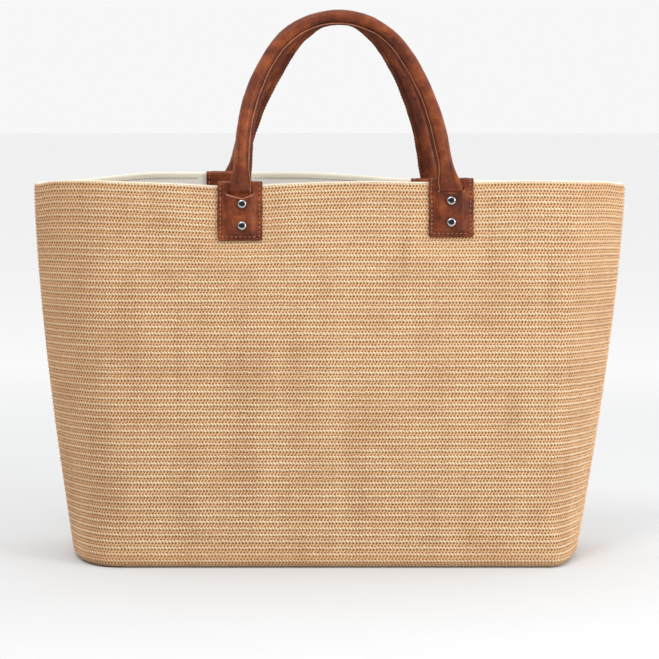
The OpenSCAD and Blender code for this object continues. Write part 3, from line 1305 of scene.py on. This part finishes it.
@dataclass
class Lining:
    """The cotton lining with its folded edge and topstitching, and the board it covers."""

    form: BagForm
    finishes: Wardrobe
    columns: int = 216
    rows: int = 128
    thick: float = 0.7
    edge_depth: float = 4.6
    low: float = 5.0
    turn: float = 9.3
    inset: float = 2.75
    base_inset: float = 12.4
    pucker: float = 0.9
    slack: float = 2.2
    seam_gap: float = 0.2

    def faces(self, side: Side) -> tuple[Array, Array, Array]:
        """Both faces of one half, from the bottom to the rim.

        Args:
            side: The wall that it lines.

        Returns:
            The face against the straw, the inner face, and the depth below the rim.
        """
        form = self.form
        run, z, inset = form.wall_run(self.low, self.turn, self.inset, form.rim_h + 1, self.rows)
        depth = (run[-1] - run)[:, None] * np.ones(self.columns + 1)
        shares = np.linspace(0, 1, self.columns + 1)
        outer = form.soften(side, form.section(z, inset, shares))
        normal = outward(outer)
        x, high = outer[..., 0], outer[..., 2]
        free = 1 - form.near_patch(side, x, high)
        seed = 31 if side is Side.FRONT else 37
        pucker = np.abs(Ripple(seed, 34).at(x * 1.6, high * 0.35)) ** 1.3
        slack = np.abs(Ripple(seed + 1, 120).at(x, high)) ** 1.2
        fade = ease(depth, 5, 70) * ease(np.minimum(shares, 1 - shares), 0, 0.02)
        push = (self.pucker * pucker + self.slack * slack) * fade * free
        outer = outer - normal * (push * 0.9)[..., None]
        edge = 0.45 * ease(depth, self.edge_depth + 0.6, self.edge_depth) * free
        inner = outer - normal * (self.thick + edge)[..., None]
        inner[..., 2] -= ease(depth, 1.2, 0) * 0.25
        for grid in (outer, inner):
            clear_seam(grid, self.seam_gap)
        return outer, inner, depth

    def half(self, side: Side) -> None:
        """Build one half and its topstitching.

        Args:
            side: The wall that it lines.
        """
        outer, inner, depth = self.faces(side)
        mesh = closed_sheet(side.placed(outer), side.placed(inner))
        run = np.broadcast_to(np.linspace(0, 620, self.columns + 1), depth.shape)
        marks = np.stack([run, depth, 0 * depth], axis=-1)
        name = f"lining_{side.value}"
        piece = one_piece(f"{name}_cloth", self.finishes.lining, mesh, "cloth", marks, marks)
        put(piece, Slot.LINING, "bag", name)
        self.topstitch(side, inner, depth)

    def topstitch(self, side: Side, inner: Array, depth: Array) -> None:
        """Sew the folded edge of one half down.

        Args:
            side: The wall.
            inner: Inner face of the half.
            depth: Depth of its points below the rim.
        """
        row = int(np.argmin(np.abs(depth[:, 0] - self.edge_depth - 0.5)))
        line = inner[row]
        out = -outward(inner)[row]
        skin = Skin()
        for j in range(2, self.columns - 1):
            if self.form.near_patch(side, line[j, 0], line[j, 2]) > 0.8:
                continue
            start = line[j] + out[j] * 0.1
            end = line[j] * 0.2 + line[j + 1] * 0.8 + out[j] * 0.1
            skin.add(*stitch(side.placed(start), side.placed(end), side.placed(out[j]), 0.36, 0.4))
        put(skin.build(f"topstitch_{side.value}", self.finishes.rim_thread), Slot.LINING, "bag")

    def base(self) -> None:
        """Build the lining of the bottom, lying on its board with a few soft wrinkles."""
        lower, upper = floor_grids(self.form, self.low, self.base_inset, self.thick, 161, 40)
        x, y = lower[..., 0], lower[..., 1]
        rows = np.arange(len(lower))[:, None]
        inside = ease(np.minimum(rows, len(lower) - 1 - rows), 0, 5) * ease(np.abs(x), 222, 190)
        rise = 1.5 * np.abs(Ripple(41, 90).at(x, y * 1.3)) ** 1.5 * inside
        for grid in (lower, upper):
            grid[..., 2] += rise
        marks = np.stack([x, y + 900, 0 * x], axis=-1)
        mesh = closed_sheet(lower, upper)
        piece = one_piece(
            "lining_bottom_cloth", self.finishes.lining, mesh, "cloth", marks, marks
        )
        put(piece, Slot.LINING, "bag", "lining_base")

    def build(self) -> None:
        """Build both halves, the bottom and the board's finish."""
        for side in Side:
            self.half(side)
        self.base()
        dress_node("base_board", self.finishes.board)


def dress_node(node: str, finish: bpy.types.Material) -> None:
    """Give a CAD part its finish.

    Args:
        node: Name of the part.
        finish: The finish.
    """
    part = bpy.data.objects[node]
    for mesh_slot in part.material_slots:
        mesh_slot.material = finish
    if not part.material_slots:
        part.data.materials.append(finish)
    LOG.info("%s: dressed", node)


# ---------------------------------------------------------------------------------------------
# Leather and metal
# ---------------------------------------------------------------------------------------------


@dataclass
class HandlePatch:
    """A leather patch folded over the rim, stitched round its edge, slit for the handle."""

    form: BagForm
    finishes: Wardrobe
    side: Side
    name: str
    x: float
    rise: float = 0.0
    dip: float = 1.0
    lip_x: float = 0.0
    rivet_x: float = 0.0
    lift: float = 0.0
    width: float = 42.0
    thick: float = 1.6
    bottom: float = -53.3
    fold_top: float = 2.9
    leaf: float = -1.8
    inner_leaf: float = 3.8
    corner: float = 2.4
    bump: float = 2.7
    slit: tuple[float, float] = (-9.9, -7.0)
    slit_half: float = 11.7
    stitch_in: float = 3.1
    stitch_l: float = 3.0
    stitch_pitch: float = 4.2
    rivets: tuple[float, float] = (-19.2, -39.6)
    front_rows: int = 74
    back_rows: int = 38
    columns: int = 61

    def profile(self) -> tuple[Array, Array, Array]:
        """Run of the leather from the front bottom edge over the rim to the inner one.

        Returns:
            Middle line points [y, z], their unit normals outwards, and the distance along.
        """
        inner = self.inner_leaf + self.thick / 2
        outer = self.leaf + self.thick / 2
        up = np.linspace(self.bottom, 0, self.front_rows)
        low_slit, high_slit = self.slit
        for value in (low_slit, high_slit):
            up[np.argmin(np.abs(up - value))] = value
        angle = np.linspace(0, math.pi, 15)[1:-1]
        half = (inner - outer) / 2
        top = self.fold_top + self.rise - self.thick / 2
        y = np.concatenate([
            np.full(self.front_rows, outer),
            outer + half * (1 - np.cos(angle)),
            np.full(self.back_rows, inner),
        ])
        stretch = np.where(up > high_slit, up + self.rise * ease(up, high_slit, 0), up)
        down = np.linspace(0, self.bottom, self.back_rows)
        z = np.concatenate([
            stretch,
            self.rise + (top - self.rise) * np.sin(angle),
            down + self.rise * ease(down, -30, 0),
        ])
        line = np.stack([y, z], axis=1)
        run = np.gradient(line, axis=0)
        run /= np.linalg.norm(run, axis=1, keepdims=True)
        normal = np.stack([-run[:, 1], run[:, 0]], axis=1)
        along = np.concatenate([[0], np.cumsum(np.linalg.norm(np.diff(line, axis=0), axis=1))])
        return line, normal, along

    def grids(self) -> tuple[Array, Array, Array, Array]:
        """Both faces of the leather in the wall's frame.

        Returns:
            Outer face, inner face, hole cells and the hide layout.
        """
        line, normal, along = self.profile()
        edge_gap = np.minimum(along, along[-1] - along)[:, None]
        across = np.linspace(-1, 1, self.columns)
        short = np.clip(self.corner - edge_gap, 0, self.corner)
        cut = self.corner - np.sqrt(np.maximum(self.corner**2 - short**2, 0))
        half = self.width / 2 - cut
        wavy = 0.22 * Ripple(int(abs(self.x)) + 3, 22).at(along[:, None], np.sign(across) * 40)
        x = across * (half + wavy * np.abs(across) ** 4)
        y = np.broadcast_to(line[:, :1], x.shape)
        z = np.broadcast_to(line[:, 1:], x.shape)
        front = (np.arange(len(line)) < self.front_rows)[:, None]
        side_gap = half - np.abs(x)
        gap = np.minimum(side_gap, edge_gap)
        over = ease(np.abs(x), 15.2, 10.2) * ease(z, self.bottom + 1.5, self.bottom + 7)
        over = over * (z < self.slit[1] - 1e-6) * front
        over = over * np.where(z > self.slit[0] + 1e-6, 0.55, 1.0)
        push = self.bump * over
        pinch = 0 * x
        for height in self.rivets:
            away = np.hypot(x - self.rivet_x, z - height)
            pinch = pinch + 0.45 * ease(away, 9.0, 5.0)
        push = push - pinch * front
        lumps = 0.16 * Ripple(int(abs(self.x)) + 8, 13).at(x, along[:, None])
        groove = 0.55 * hump(gap, self.stitch_in, 0.75)
        rounding = 0.5 * ease(gap, 1.0, 0)
        reach = self.slit_half + 1 + self.lip_x * np.sign(x - self.lip_x) * -1
        sink = self.dip * np.clip(1 - np.abs(x - self.lip_x) / reach, 0, 1)
        z = z - sink * hump(z, self.slit[0], 4.5) * front * (z < self.slit[1] - 1e-6)
        out = np.zeros(x.shape + (3,))
        out[..., 1], out[..., 2] = normal[:, :1], normal[:, 1:]
        middle = np.stack([x, y, z], axis=-1) + out * push[..., None]
        thick = self.thick / 2
        outer = middle + out * (thick + lumps * ease(gap, 0, 3) - groove - rounding)[..., None]
        inner = middle - out * (thick - rounding * 0.6)[..., None]
        low, high = self.slit
        rows_z = line[:-1, 1] + np.diff(line[:, 1]) / 2
        in_front = np.arange(len(line) - 1) < self.front_rows - 1
        open_rows = in_front & (rows_z > low) & (rows_z < high)
        cell_x = np.abs(across[:-1] + np.diff(across) / 2) * self.width / 2
        hole = open_rows[:, None] & (cell_x < self.slit_half)[None, :]
        lip = 1.3 * hump(line[:, 1:], low, 0.7)
        lip = lip * ease(np.abs(x), self.slit_half + 1.2, self.slit_half)
        raw = np.clip(lip * front, 0, 1)
        worn = ease(gap, 0.9, 0.1)
        # painted shade along the stitch groove and in the dimples round the rivets
        crease_shade = 1.2 * hump(gap, self.stitch_in, 0.8) + 0.5 * np.clip(pinch, 0, 1)
        marks = np.stack([raw, worn, np.clip(crease_shade, 0, 1)], axis=-1)
        return outer, inner, hole, marks

    def threads(self, outer: Array) -> None:
        """Sew round both leaves, along their sides and bottom edges.

        Args:
            outer: Outer face in the wall's frame.
        """
        skin = Skin()
        rows = outer.shape[0]
        normal = np.cross(np.gradient(outer, axis=1), np.gradient(outer, axis=0))
        normal /= np.linalg.norm(normal, axis=-1, keepdims=True)
        last = self.columns - 1
        step = np.linalg.norm(np.diff(outer[:, last // 2], axis=0), axis=1)
        along = np.concatenate([[0], np.cumsum(step)])
        column = int(round(self.stitch_in / self.width * last))
        total = along[-1]
        places = np.arange(self.stitch_in, total - self.stitch_in - 3.2, self.stitch_pitch)
        for col in (column, last - column):
            for place in places:
                i, j = (int(np.searchsorted(along, place + d)) for d in (0, self.stitch_l))
                if not 0 < i < j < rows:
                    continue
                self.sew(skin, outer[i, col], outer[j, col], normal[(i + j) // 2, col])
        for row_at in (self.stitch_in, total - self.stitch_in):
            i = min(int(np.searchsorted(along, row_at)), rows - 2)
            for k in range(column + 1, last - column - 3, 6):
                self.sew(skin, outer[i, k], outer[i, k + 4], normal[i, k + 2])
        put(skin.build(f"{self.name}_threads", self.finishes.leather_thread), Slot.LEATHER, "bag")

    def sew(self, skin: Skin, start: Array, end: Array, out: Array) -> None:
        """Add one stitch, given in the wall's frame."""
        start, end = start + out * 0.15, end + out * 0.15
        base = self.hang(np.stack([start, end, start + out]))
        skin.add(*stitch(base[0], base[1], base[2] - base[0], 0.52, 0.5))

    def hang(self, local: Array) -> Array:
        """Place points of the patch's own frame on its wall, at the patch's own height."""
        return self.form.on_wall(self.side, self.x, local + np.array([0.0, 0.0, self.lift]))

    def build(self) -> None:
        """Build the patch, its stitches and its rivets."""
        outer, inner, hole, marks = self.grids()
        mesh = closed_sheet(self.hang(outer), self.hang(inner), hole)
        name = f"leather_{self.name}"
        piece = one_piece(name, self.finishes.leather, mesh, "hide", marks, marks)
        put(piece, Slot.LEATHER, "bag", self.name)
        self.threads(outer)
        self.rivet_set("rivets", self.cap_profile())
        self.rivet_set("rivet_backs", self.back_profile())

    def cap_profile(self) -> list[tuple[float, float]]:
        """Radius and place of a rivet's domed cap and post, along the wall's y axis."""
        radius, dome, seat, post_end = 4.5, 1.9, -4.95, 6.6
        steps = np.sin(np.linspace(0, 0.49, 16) * math.pi)
        shape = [(radius * float(s), seat - dome * (1 - float(s) ** 6)) for s in steps]
        under = [(4.55, 0.12), (4.6, 0.3), (4.5, 0.55), (4.2, 0.8), (2.0, 1.0), (1.6, 1.1)]
        shape += [(r, seat + d) for r, d in under]
        return shape + [(1.6, post_end), (0.0, post_end)]

    def back_profile(self) -> list[tuple[float, float]]:
        """Radius and place of the inner cap that the post is pressed into."""
        return [
            (0.0, 6.9), (0.9, 6.95), (1.5, 7.25), (2.0, 7.4), (3.1, 7.35), (3.7, 7.1),
            (3.95, 6.7), (4.0, 6.2), (4.0, 5.7), (3.85, 5.45), (0.0, 5.42),
        ]

    def rivet_set(self, kind: str, profile: list[tuple[float, float]]) -> None:
        """Turn the two rivets, or their inner caps.

        Args:
            kind: "rivets" or "rivet_backs".
            profile: Radius and place along the axis.
        """
        skin = Skin()
        points, faces = turned(profile, 40)
        for height in self.rivets:
            moved = points + np.array([self.rivet_x, 0.0, height])
            skin.add(self.hang(moved), faces)
        node = self.name.replace("patch", kind)
        put(skin.build(f"nickel_{node}", self.finishes.nickel), Slot.NICKEL, "bag", node)


@dataclass
class RolledHandle:
    """A leather wrap round a cord core, sewn along the inside of the arch, with flat ends."""

    form: BagForm
    finishes: Wardrobe
    side: Side
    x: float
    side_r: float
    turn_2: float
    turn_1: float = 56.0
    length: float = 165.0
    leg_gap: float = 198.0
    roll: float = 6.2
    neck_l: float = 24.0
    neck_out: float = 5.0
    lip_r: float = 2.1
    slide: float = 7.0
    hinge: tuple[float, float] = (42.2028, 351.3745)
    tilt: float = 13.137
    necks: tuple[float, float] = (9.6, 10.6)
    step: float = 1.7
    roll_points: int = 43
    seam_at: int = 9
    blend_l: float = 22.0

    def stations(self) -> Array:
        """One side of the centre line, from the top of the arch to the hinge line.

        Returns:
            Rows of x, z, tangent angle in degrees, roundness from 1 to 0, y and distance along.
        """
        a1, a2 = math.radians(self.turn_1), math.radians(self.turn_2)
        side_x = self.side_r * (math.sin(a2) - math.sin(a1))
        side_z = self.side_r * (math.cos(a1) - math.cos(a2))
        slope = math.cos(a2) / math.sin(a2)
        top_r = (self.leg_gap / 2 - side_x - slope * (self.length - side_z)) / (
            math.sin(a1) - slope * (1 - math.cos(a1))
        )
        x1, z1 = top_r * math.sin(a1), self.length - top_r * (1 - math.cos(a1))
        x2, z2 = x1 + side_x, z1 - side_z
        leg = (z2 - self.neck_l) / math.sin(a2)
        leg_x = x2 + leg * math.cos(a2)
        lengths = (top_r * a1, self.side_r * (a2 - a1), leg, self.neck_l)
        total = sum(lengths)
        rows = []
        for s in np.linspace(0, total, int(total / self.step) + 1):
            if s <= lengths[0]:
                a = s / top_r
                x, z = top_r * math.sin(a), self.length - top_r * (1 - math.cos(a))
                turn, soft = a, 0.0
            elif s <= lengths[0] + lengths[1]:
                a = a1 + (s - lengths[0]) / self.side_r
                x = x1 + self.side_r * (math.sin(a) - math.sin(a1))
                z = z1 - self.side_r * (math.cos(a1) - math.cos(a))
                turn, soft = a, 0.0
            elif s <= total - self.neck_l:
                d = s - lengths[0] - lengths[1]
                x, z = x2 + d * math.cos(a2), z2 - d * math.sin(a2)
                turn, soft = a2, 0.0
            else:
                t = (s - total + self.neck_l) / self.neck_l
                x, z = leg_x + (self.leg_gap / 2 - leg_x) * t, self.neck_l * (1 - t)
                turn, soft = a2 + (math.pi / 2 - a2) * t, t * t * (3 - 2 * t)
            rows.append([x, z, math.degrees(turn), 1 - soft, self.neck_out * soft, s])
        return np.array(rows)

    def ring(self, half_w: float, half_t: float, square: float, fin: float) -> Array:
        """Cross-section: the roll, a long back flap and a short front flap with a raw edge.

        Args:
            half_w: Half width of the roll.
            half_t: Half thickness of the roll.
            square: Power of the oval, 1 for round and less for squarer.
            fin: Length of the back flap.

        Returns:
            Rows of the distance away from the middle of the arch, the distance across it, and
            the hide layout: raw edge, worn edge and painted shade where the flaps meet the roll.
        """
        a = np.radians(np.linspace(-166, 166, self.roll_points))
        c, s = np.cos(a), np.sin(a)
        roll = np.zeros((self.roll_points, 5))
        roll[:, 0] = np.sign(c) * half_w * np.abs(c) ** square
        roll[:, 1] = np.sign(s) * half_t * np.abs(s) ** square
        # painted shade where the roll meets the flaps
        roll[[0, 1, -2, -1], 4] = 0.7
        flap = min(1.3, half_t * 0.4)
        short = min(fin, 1.5)
        root = -half_w * 0.97
        # columns: away, across, raw edge, worn edge, painted shade; the painted shade darkens the
        # slot between the flaps and their root
        fins = [
            [root - fin * 0.3, flap * 1.05, 0.0, 0.0, 0.0],
            [root - fin * 0.7, flap, 0.0, 0.0, 0.0],
            [root - fin, flap * 0.85, 0.0, 0.8, 0.0],
            [root - fin - 0.25, flap * 0.45, 0.0, 0.8, 0.0],
            [root - fin, 0.06, 0.0, 0.8, 0.0],
            [root - fin * 0.6 - 0.3, 0.02, 0.0, 0.8, 0.0],
            [root - short, -0.05, 0.0, 0.0, 1.0],
            [root - short, -flap * 0.55, 0.85, 0.0, 0.0],
            [root - short + 0.1, -flap, 0.85, 0.0, 0.0],
            [root - short + 0.5, -flap * 1.12, 0.0, 0.0, 0.0],
            [root, -flap * 1.12, 0.0, 0.0, 0.7],
        ]
        return np.concatenate([roll, fins])

    def arch_rings(self) -> tuple[Array, Array]:
        """Rings of the arch and the necks, from the left hinge line to the right one.

        Returns:
            Points in the bag's frame, rings by sides by 3, and their hide layout.
        """
        half = self.stations()
        mirrored = half[:0:-1] * (-1, 1, -1, 1, 1, -1)
        tilt = math.radians(-self.tilt)
        rings, layouts = [], []
        for x, z, turn, round_, y, s in np.concatenate([mirrored, half]):
            neck = self.necks[0 if x < 0 else 1]
            half_w = self.roll + (neck - self.roll) * (1 - round_)
            half_t = self.lip_r + (self.roll - self.lip_r) * round_
            wobble = 0.18 * math.sin(s / 11.0) + 0.1 * math.sin(s / 4.3 + 1)
            tooth = 0.28 * math.sin(2 * math.pi * s / 3.4)
            fin = (1.3 + 3.0 * float(ease(abs(turn), 14, 40))) * round_ + 0.8 * (1 - round_)
            square = 1 - 0.5 * (1 - round_)
            shape = self.ring(half_w + wobble * round_, half_t, square, fin + tooth * round_)
            q, r = shape[:, 0], shape[:, 1].copy()
            low = float(ease(z, 78, 26))
            reach = q / half_w
            groove = 0.8 * low * hump(reach, 0.36, 0.13) * (r < 0) * np.clip(half_t / 4, 0, 1)
            r = r + groove
            marks = shape[:, 2:].copy()
            # painted shade in the groove along the underside of the legs
            marks[:, 2] = np.maximum(marks[:, 2], 0.8 * low * hump(reach, 0.36, 0.1) * (r < 0))
            turn = math.radians(turn)
            px, pz = x + q * math.sin(turn), z + q * math.cos(turn)
            share = pz / self.length
            px = px - self.slide * share * (2 - share)
            py = y + r - self.neck_out
            wx = px + self.side.across(self.x)
            wy = py * math.cos(tilt) - pz * math.sin(tilt) - self.hinge[0]
            wz = py * math.sin(tilt) + pz * math.cos(tilt) + self.hinge[1]
            rings.append(np.stack([wx, wy, wz], axis=1))
            layouts.append(marks)
        return np.array(rings), np.array(layouts)

    def tongue_rings(self, right: bool) -> tuple[Array, Array]:
        """Rings of one flat end, from just below the hinge line to its tip behind the patch.

        Args:
            right: Whether it is the right end, as drawn for the front.

        Returns:
            Points in the bag's frame before turning, and their hide layout.
        """
        path = [
            (-5.35, -7.0, 2.05), (-5.1, -7.7, 1.95), (-4.5, -8.3, 1.75), (-3.7, -8.9, 1.5),
            (-2.7, -9.6, 1.25), (-1.9, -10.6, 1.1), (-1.5, -12.2, 1.05), (-1.4, -16.0, 1.05),
            (-1.4, -24.0, 1.05), (-1.4, -31.0, 1.05), (-1.4, -38.0, 1.05), (-1.4, -46.0, 1.0),
            (-1.4, -47.0, 0.6),
        ]
        sign = 1 if right else -1
        rings, layouts = [], []
        for y, z, half_t in path:
            shape = self.ring(self.necks[int(right)], half_t, 0.5, 0.8)
            local = np.stack([
                sign * (self.leg_gap / 2 + shape[:, 0]),
                y + shape[:, 1],
                np.full(len(shape), z),
            ], axis=1)
            placed = self.form.on_wall(Side.FRONT, self.side.across(self.x), local)
            rings.append(placed)
            layouts.append(shape[:, 2:])
        return np.array(rings), np.array(layouts)

    def build(self) -> None:
        """Build the wrap, its seam stitches and the core's finish."""
        arch, marks = self.arch_rings()
        left, left_marks = self.tongue_rings(False)
        right, right_marks = self.tongue_rings(True)
        rings = np.concatenate([left[::-1], arch, right])
        layout = np.concatenate([left_marks[::-1], marks, right_marks])
        count, sides = rings.shape[:2]
        along = np.arange(count)[:, None] * self.step
        fine = 0.12 * Ripple(51, 9).at(along, np.arange(sides) * 0.9)
        centre = rings.mean(axis=1, keepdims=True)
        out = rings - centre
        out /= np.linalg.norm(out, axis=-1, keepdims=True)
        rings = rings + out * fine[..., None]
        faces = []
        for a in range(0, (count - 1) * sides, sides):
            for k in range(sides):
                n = (k + 1) % sides
                faces.append((a + k, a + n, a + sides + n, a + sides + k))
        faces.append(tuple(range(sides - 1, -1, -1)))
        faces.append(tuple(range((count - 1) * sides, count * sides)))
        mesh = (self.side.placed(rings.reshape(-1, 3)), faces)
        name = f"{self.side.value}_handle"
        piece = one_piece(f"leather_{name}", self.finishes.leather, mesh, "hide", layout)
        ends = [f"tongue_{self.side.value}_{end}" for end in ("left", "right")]
        put(piece, Slot.LEATHER, "", f"{name}_wrap", *ends)
        lean = math.radians(self.tilt)
        start = self.side.placed(np.array([0.0, -self.hinge[0], self.hinge[1]]))
        rise = self.side.placed(np.array([0.0, math.sin(lean), math.cos(lean)])) * self.blend_l
        tuple(start * MM)
        tuple((start + rise) * MM)
        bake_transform(piece)
        self.seam_threads(arch, name)
        dress_node(f"{name}_core", self.finishes.cord)

    def seam_threads(self, arch: Array, name: str) -> None:
        """Sew the long flap to the short one along the inside of the arch.

        Args:
            arch: Rings of the arch.
            name: Name of the handle's body.
        """
        skin = Skin()
        flap = self.roll_points + self.seam_at
        bare_end = 30.0
        skip = int(bare_end / self.step)
        for i in range(skip, len(arch) - skip, 2):
            start, end = arch[i, flap], arch[i, flap] * 0.15 + arch[i + 1, flap] * 0.85
            out = arch[i, flap] - arch[i, self.roll_points + 1]
            out /= np.linalg.norm(out)
            lifted = [self.side.placed(p) for p in (start, end)]
            skin.add(*stitch(*lifted, self.side.placed(out), 0.3, 0.3))
        put(skin.build(f"{name}_seam_threads", self.finishes.leather_thread), Slot.LEATHER, name)


# ---------------------------------------------------------------------------------------------
# Studio
# ---------------------------------------------------------------------------------------------


@dataclass
class Studio:
    """Pale floor, soft lights and the camera."""

    eye: tuple[float, float, float] = (0.0, -2.15, 0.425)
    down: float = 5.56
    lens: float = 123.0
    aim_h: float = 0.2
    backdrop: float = 0.93

    def floor(self) -> None:
        """Lay a wide round floor with a fine grain."""
        mesh = bpy.data.meshes.new("studio_floor")
        sides, radii = 64, (1.0, 3.0, 9.0, 40.0)
        angles = [2 * math.pi * k / sides for k in range(sides)]
        points = [(0.0, 0.0, 0.0)]
        for radius in radii:
            points += [(radius * math.cos(a), radius * math.sin(a), 0.0) for a in angles]
        mesh.from_pydata(points, [], disc_faces(sides, len(radii)))
        mesh.materials.append(PaleFloor().material())
        shown("studio_floor", mesh)

    def light(
        self, name: str, place: tuple[float, float, float], size: float, power: float
    ) -> None:
        """Hang a square soft light that faces the bag.

        Args:
            name: Its name.
            place: Where it hangs, in metres.
            size: Its side, in metres.
            power: Its power in watts.
        """
        data = bpy.data.lights.new(name, "AREA")
        data.shape = "SQUARE"
        data.size = size
        data.energy = power
        lamp = shown(name, data)
        lamp.location = place
        way = Vector((0, 0, self.aim_h)) - Vector(place)
        lamp.rotation_euler = way.to_track_quat("-Z", "Y").to_euler()

    def sky(self) -> None:
        """Fill the room with white light, stronger from above and weakest behind the camera."""
        world = bpy.data.worlds.new("studio_room")
        world.use_nodes = True
        bpy.context.scene.world = world
        s = Shader(world.node_tree)
        found = s.node("ShaderNodeTexCoord").outputs["Generated"]
        across, along, up = s.parts(found)
        low = up.step(0.7, 0.35)
        front = along.step(-0.05, -0.4) * low
        left = across.step(-0.55, -0.85) * low
        right = across.step(0.55, 0.85) * low
        level = (0.62 + 0.78 * up.step(-0.05, 0.75)) * (1 - 0.93 * front)
        level = level + 0.3 * left + 0.6 * right
        direct = Wire(s, s.node("ShaderNodeLightPath").outputs["Is Camera Ray"])
        strength = direct * self.backdrop + (1 - direct) * level
        back = s.node("ShaderNodeBackground", sockets={"Color": (1, 1, 1, 1), "Strength": strength})
        end = s.node("ShaderNodeOutputWorld")
        s.tree.links.new(back.outputs[0], end.inputs[0])

    def camera(self) -> None:
        """Set the camera up at eye level above the rim, looking slightly down."""
        data = bpy.data.cameras.new("studio_camera")
        data.lens = self.lens
        data.sensor_width = 36.0
        data.clip_end = 100.0
        view = shown("studio_camera", data)
        view.location = self.eye
        view.rotation_euler = (math.radians(90 - self.down), 0.0, 0.0)
        bpy.context.scene.camera = view

    def build(self) -> None:
        """Build the whole studio."""
        bpy.context.scene.view_settings.view_transform = "Standard"
        self.floor()
        self.light("key_light", (1.5, -1.1, 0.9), 0.7, 17.5)
        self.light("fill_light", (-0.6, -1.3, 2.3), 0.8, 19.0)
        self.sky()
        self.camera()


def main() -> None:
    """Build the bag and its studio."""
    logging.basicConfig(level=logging.INFO, format="%(name)s: %(message)s")
    Studio().build()
    form = BagForm()
    finishes = Wardrobe()
    StrawShell(form, finishes).build()
    Lining(form, finishes).build()
    front, back = Side.FRONT, Side.BACK
    places = (*form.front_patch_x, *form.back_patch_x)
    left_end = {"dip": 4.2, "lip_x": 2.4, "rivet_x": 2.2, "lift": -0.8}
    details = (left_end, {"dip": 1.8, "lift": 2.4}, {"rise": 7.0, "dip": 0.8}, {"dip": 1.4})
    names = ("front_left", "front_right", "back_left", "back_right")
    for name, side, x, detail in zip(names, (front, front, back, back), places, details):
        HandlePatch(form, finishes, side, f"patch_{name}", x, **detail).build()
    RolledHandle(form, finishes, front, x=15.0, side_r=200.0, turn_2=83.0).build()
    RolledHandle(form, finishes, back, x=1.0, side_r=300.0, turn_2=77.0).build()


if __name__ == "__main__":
    main()
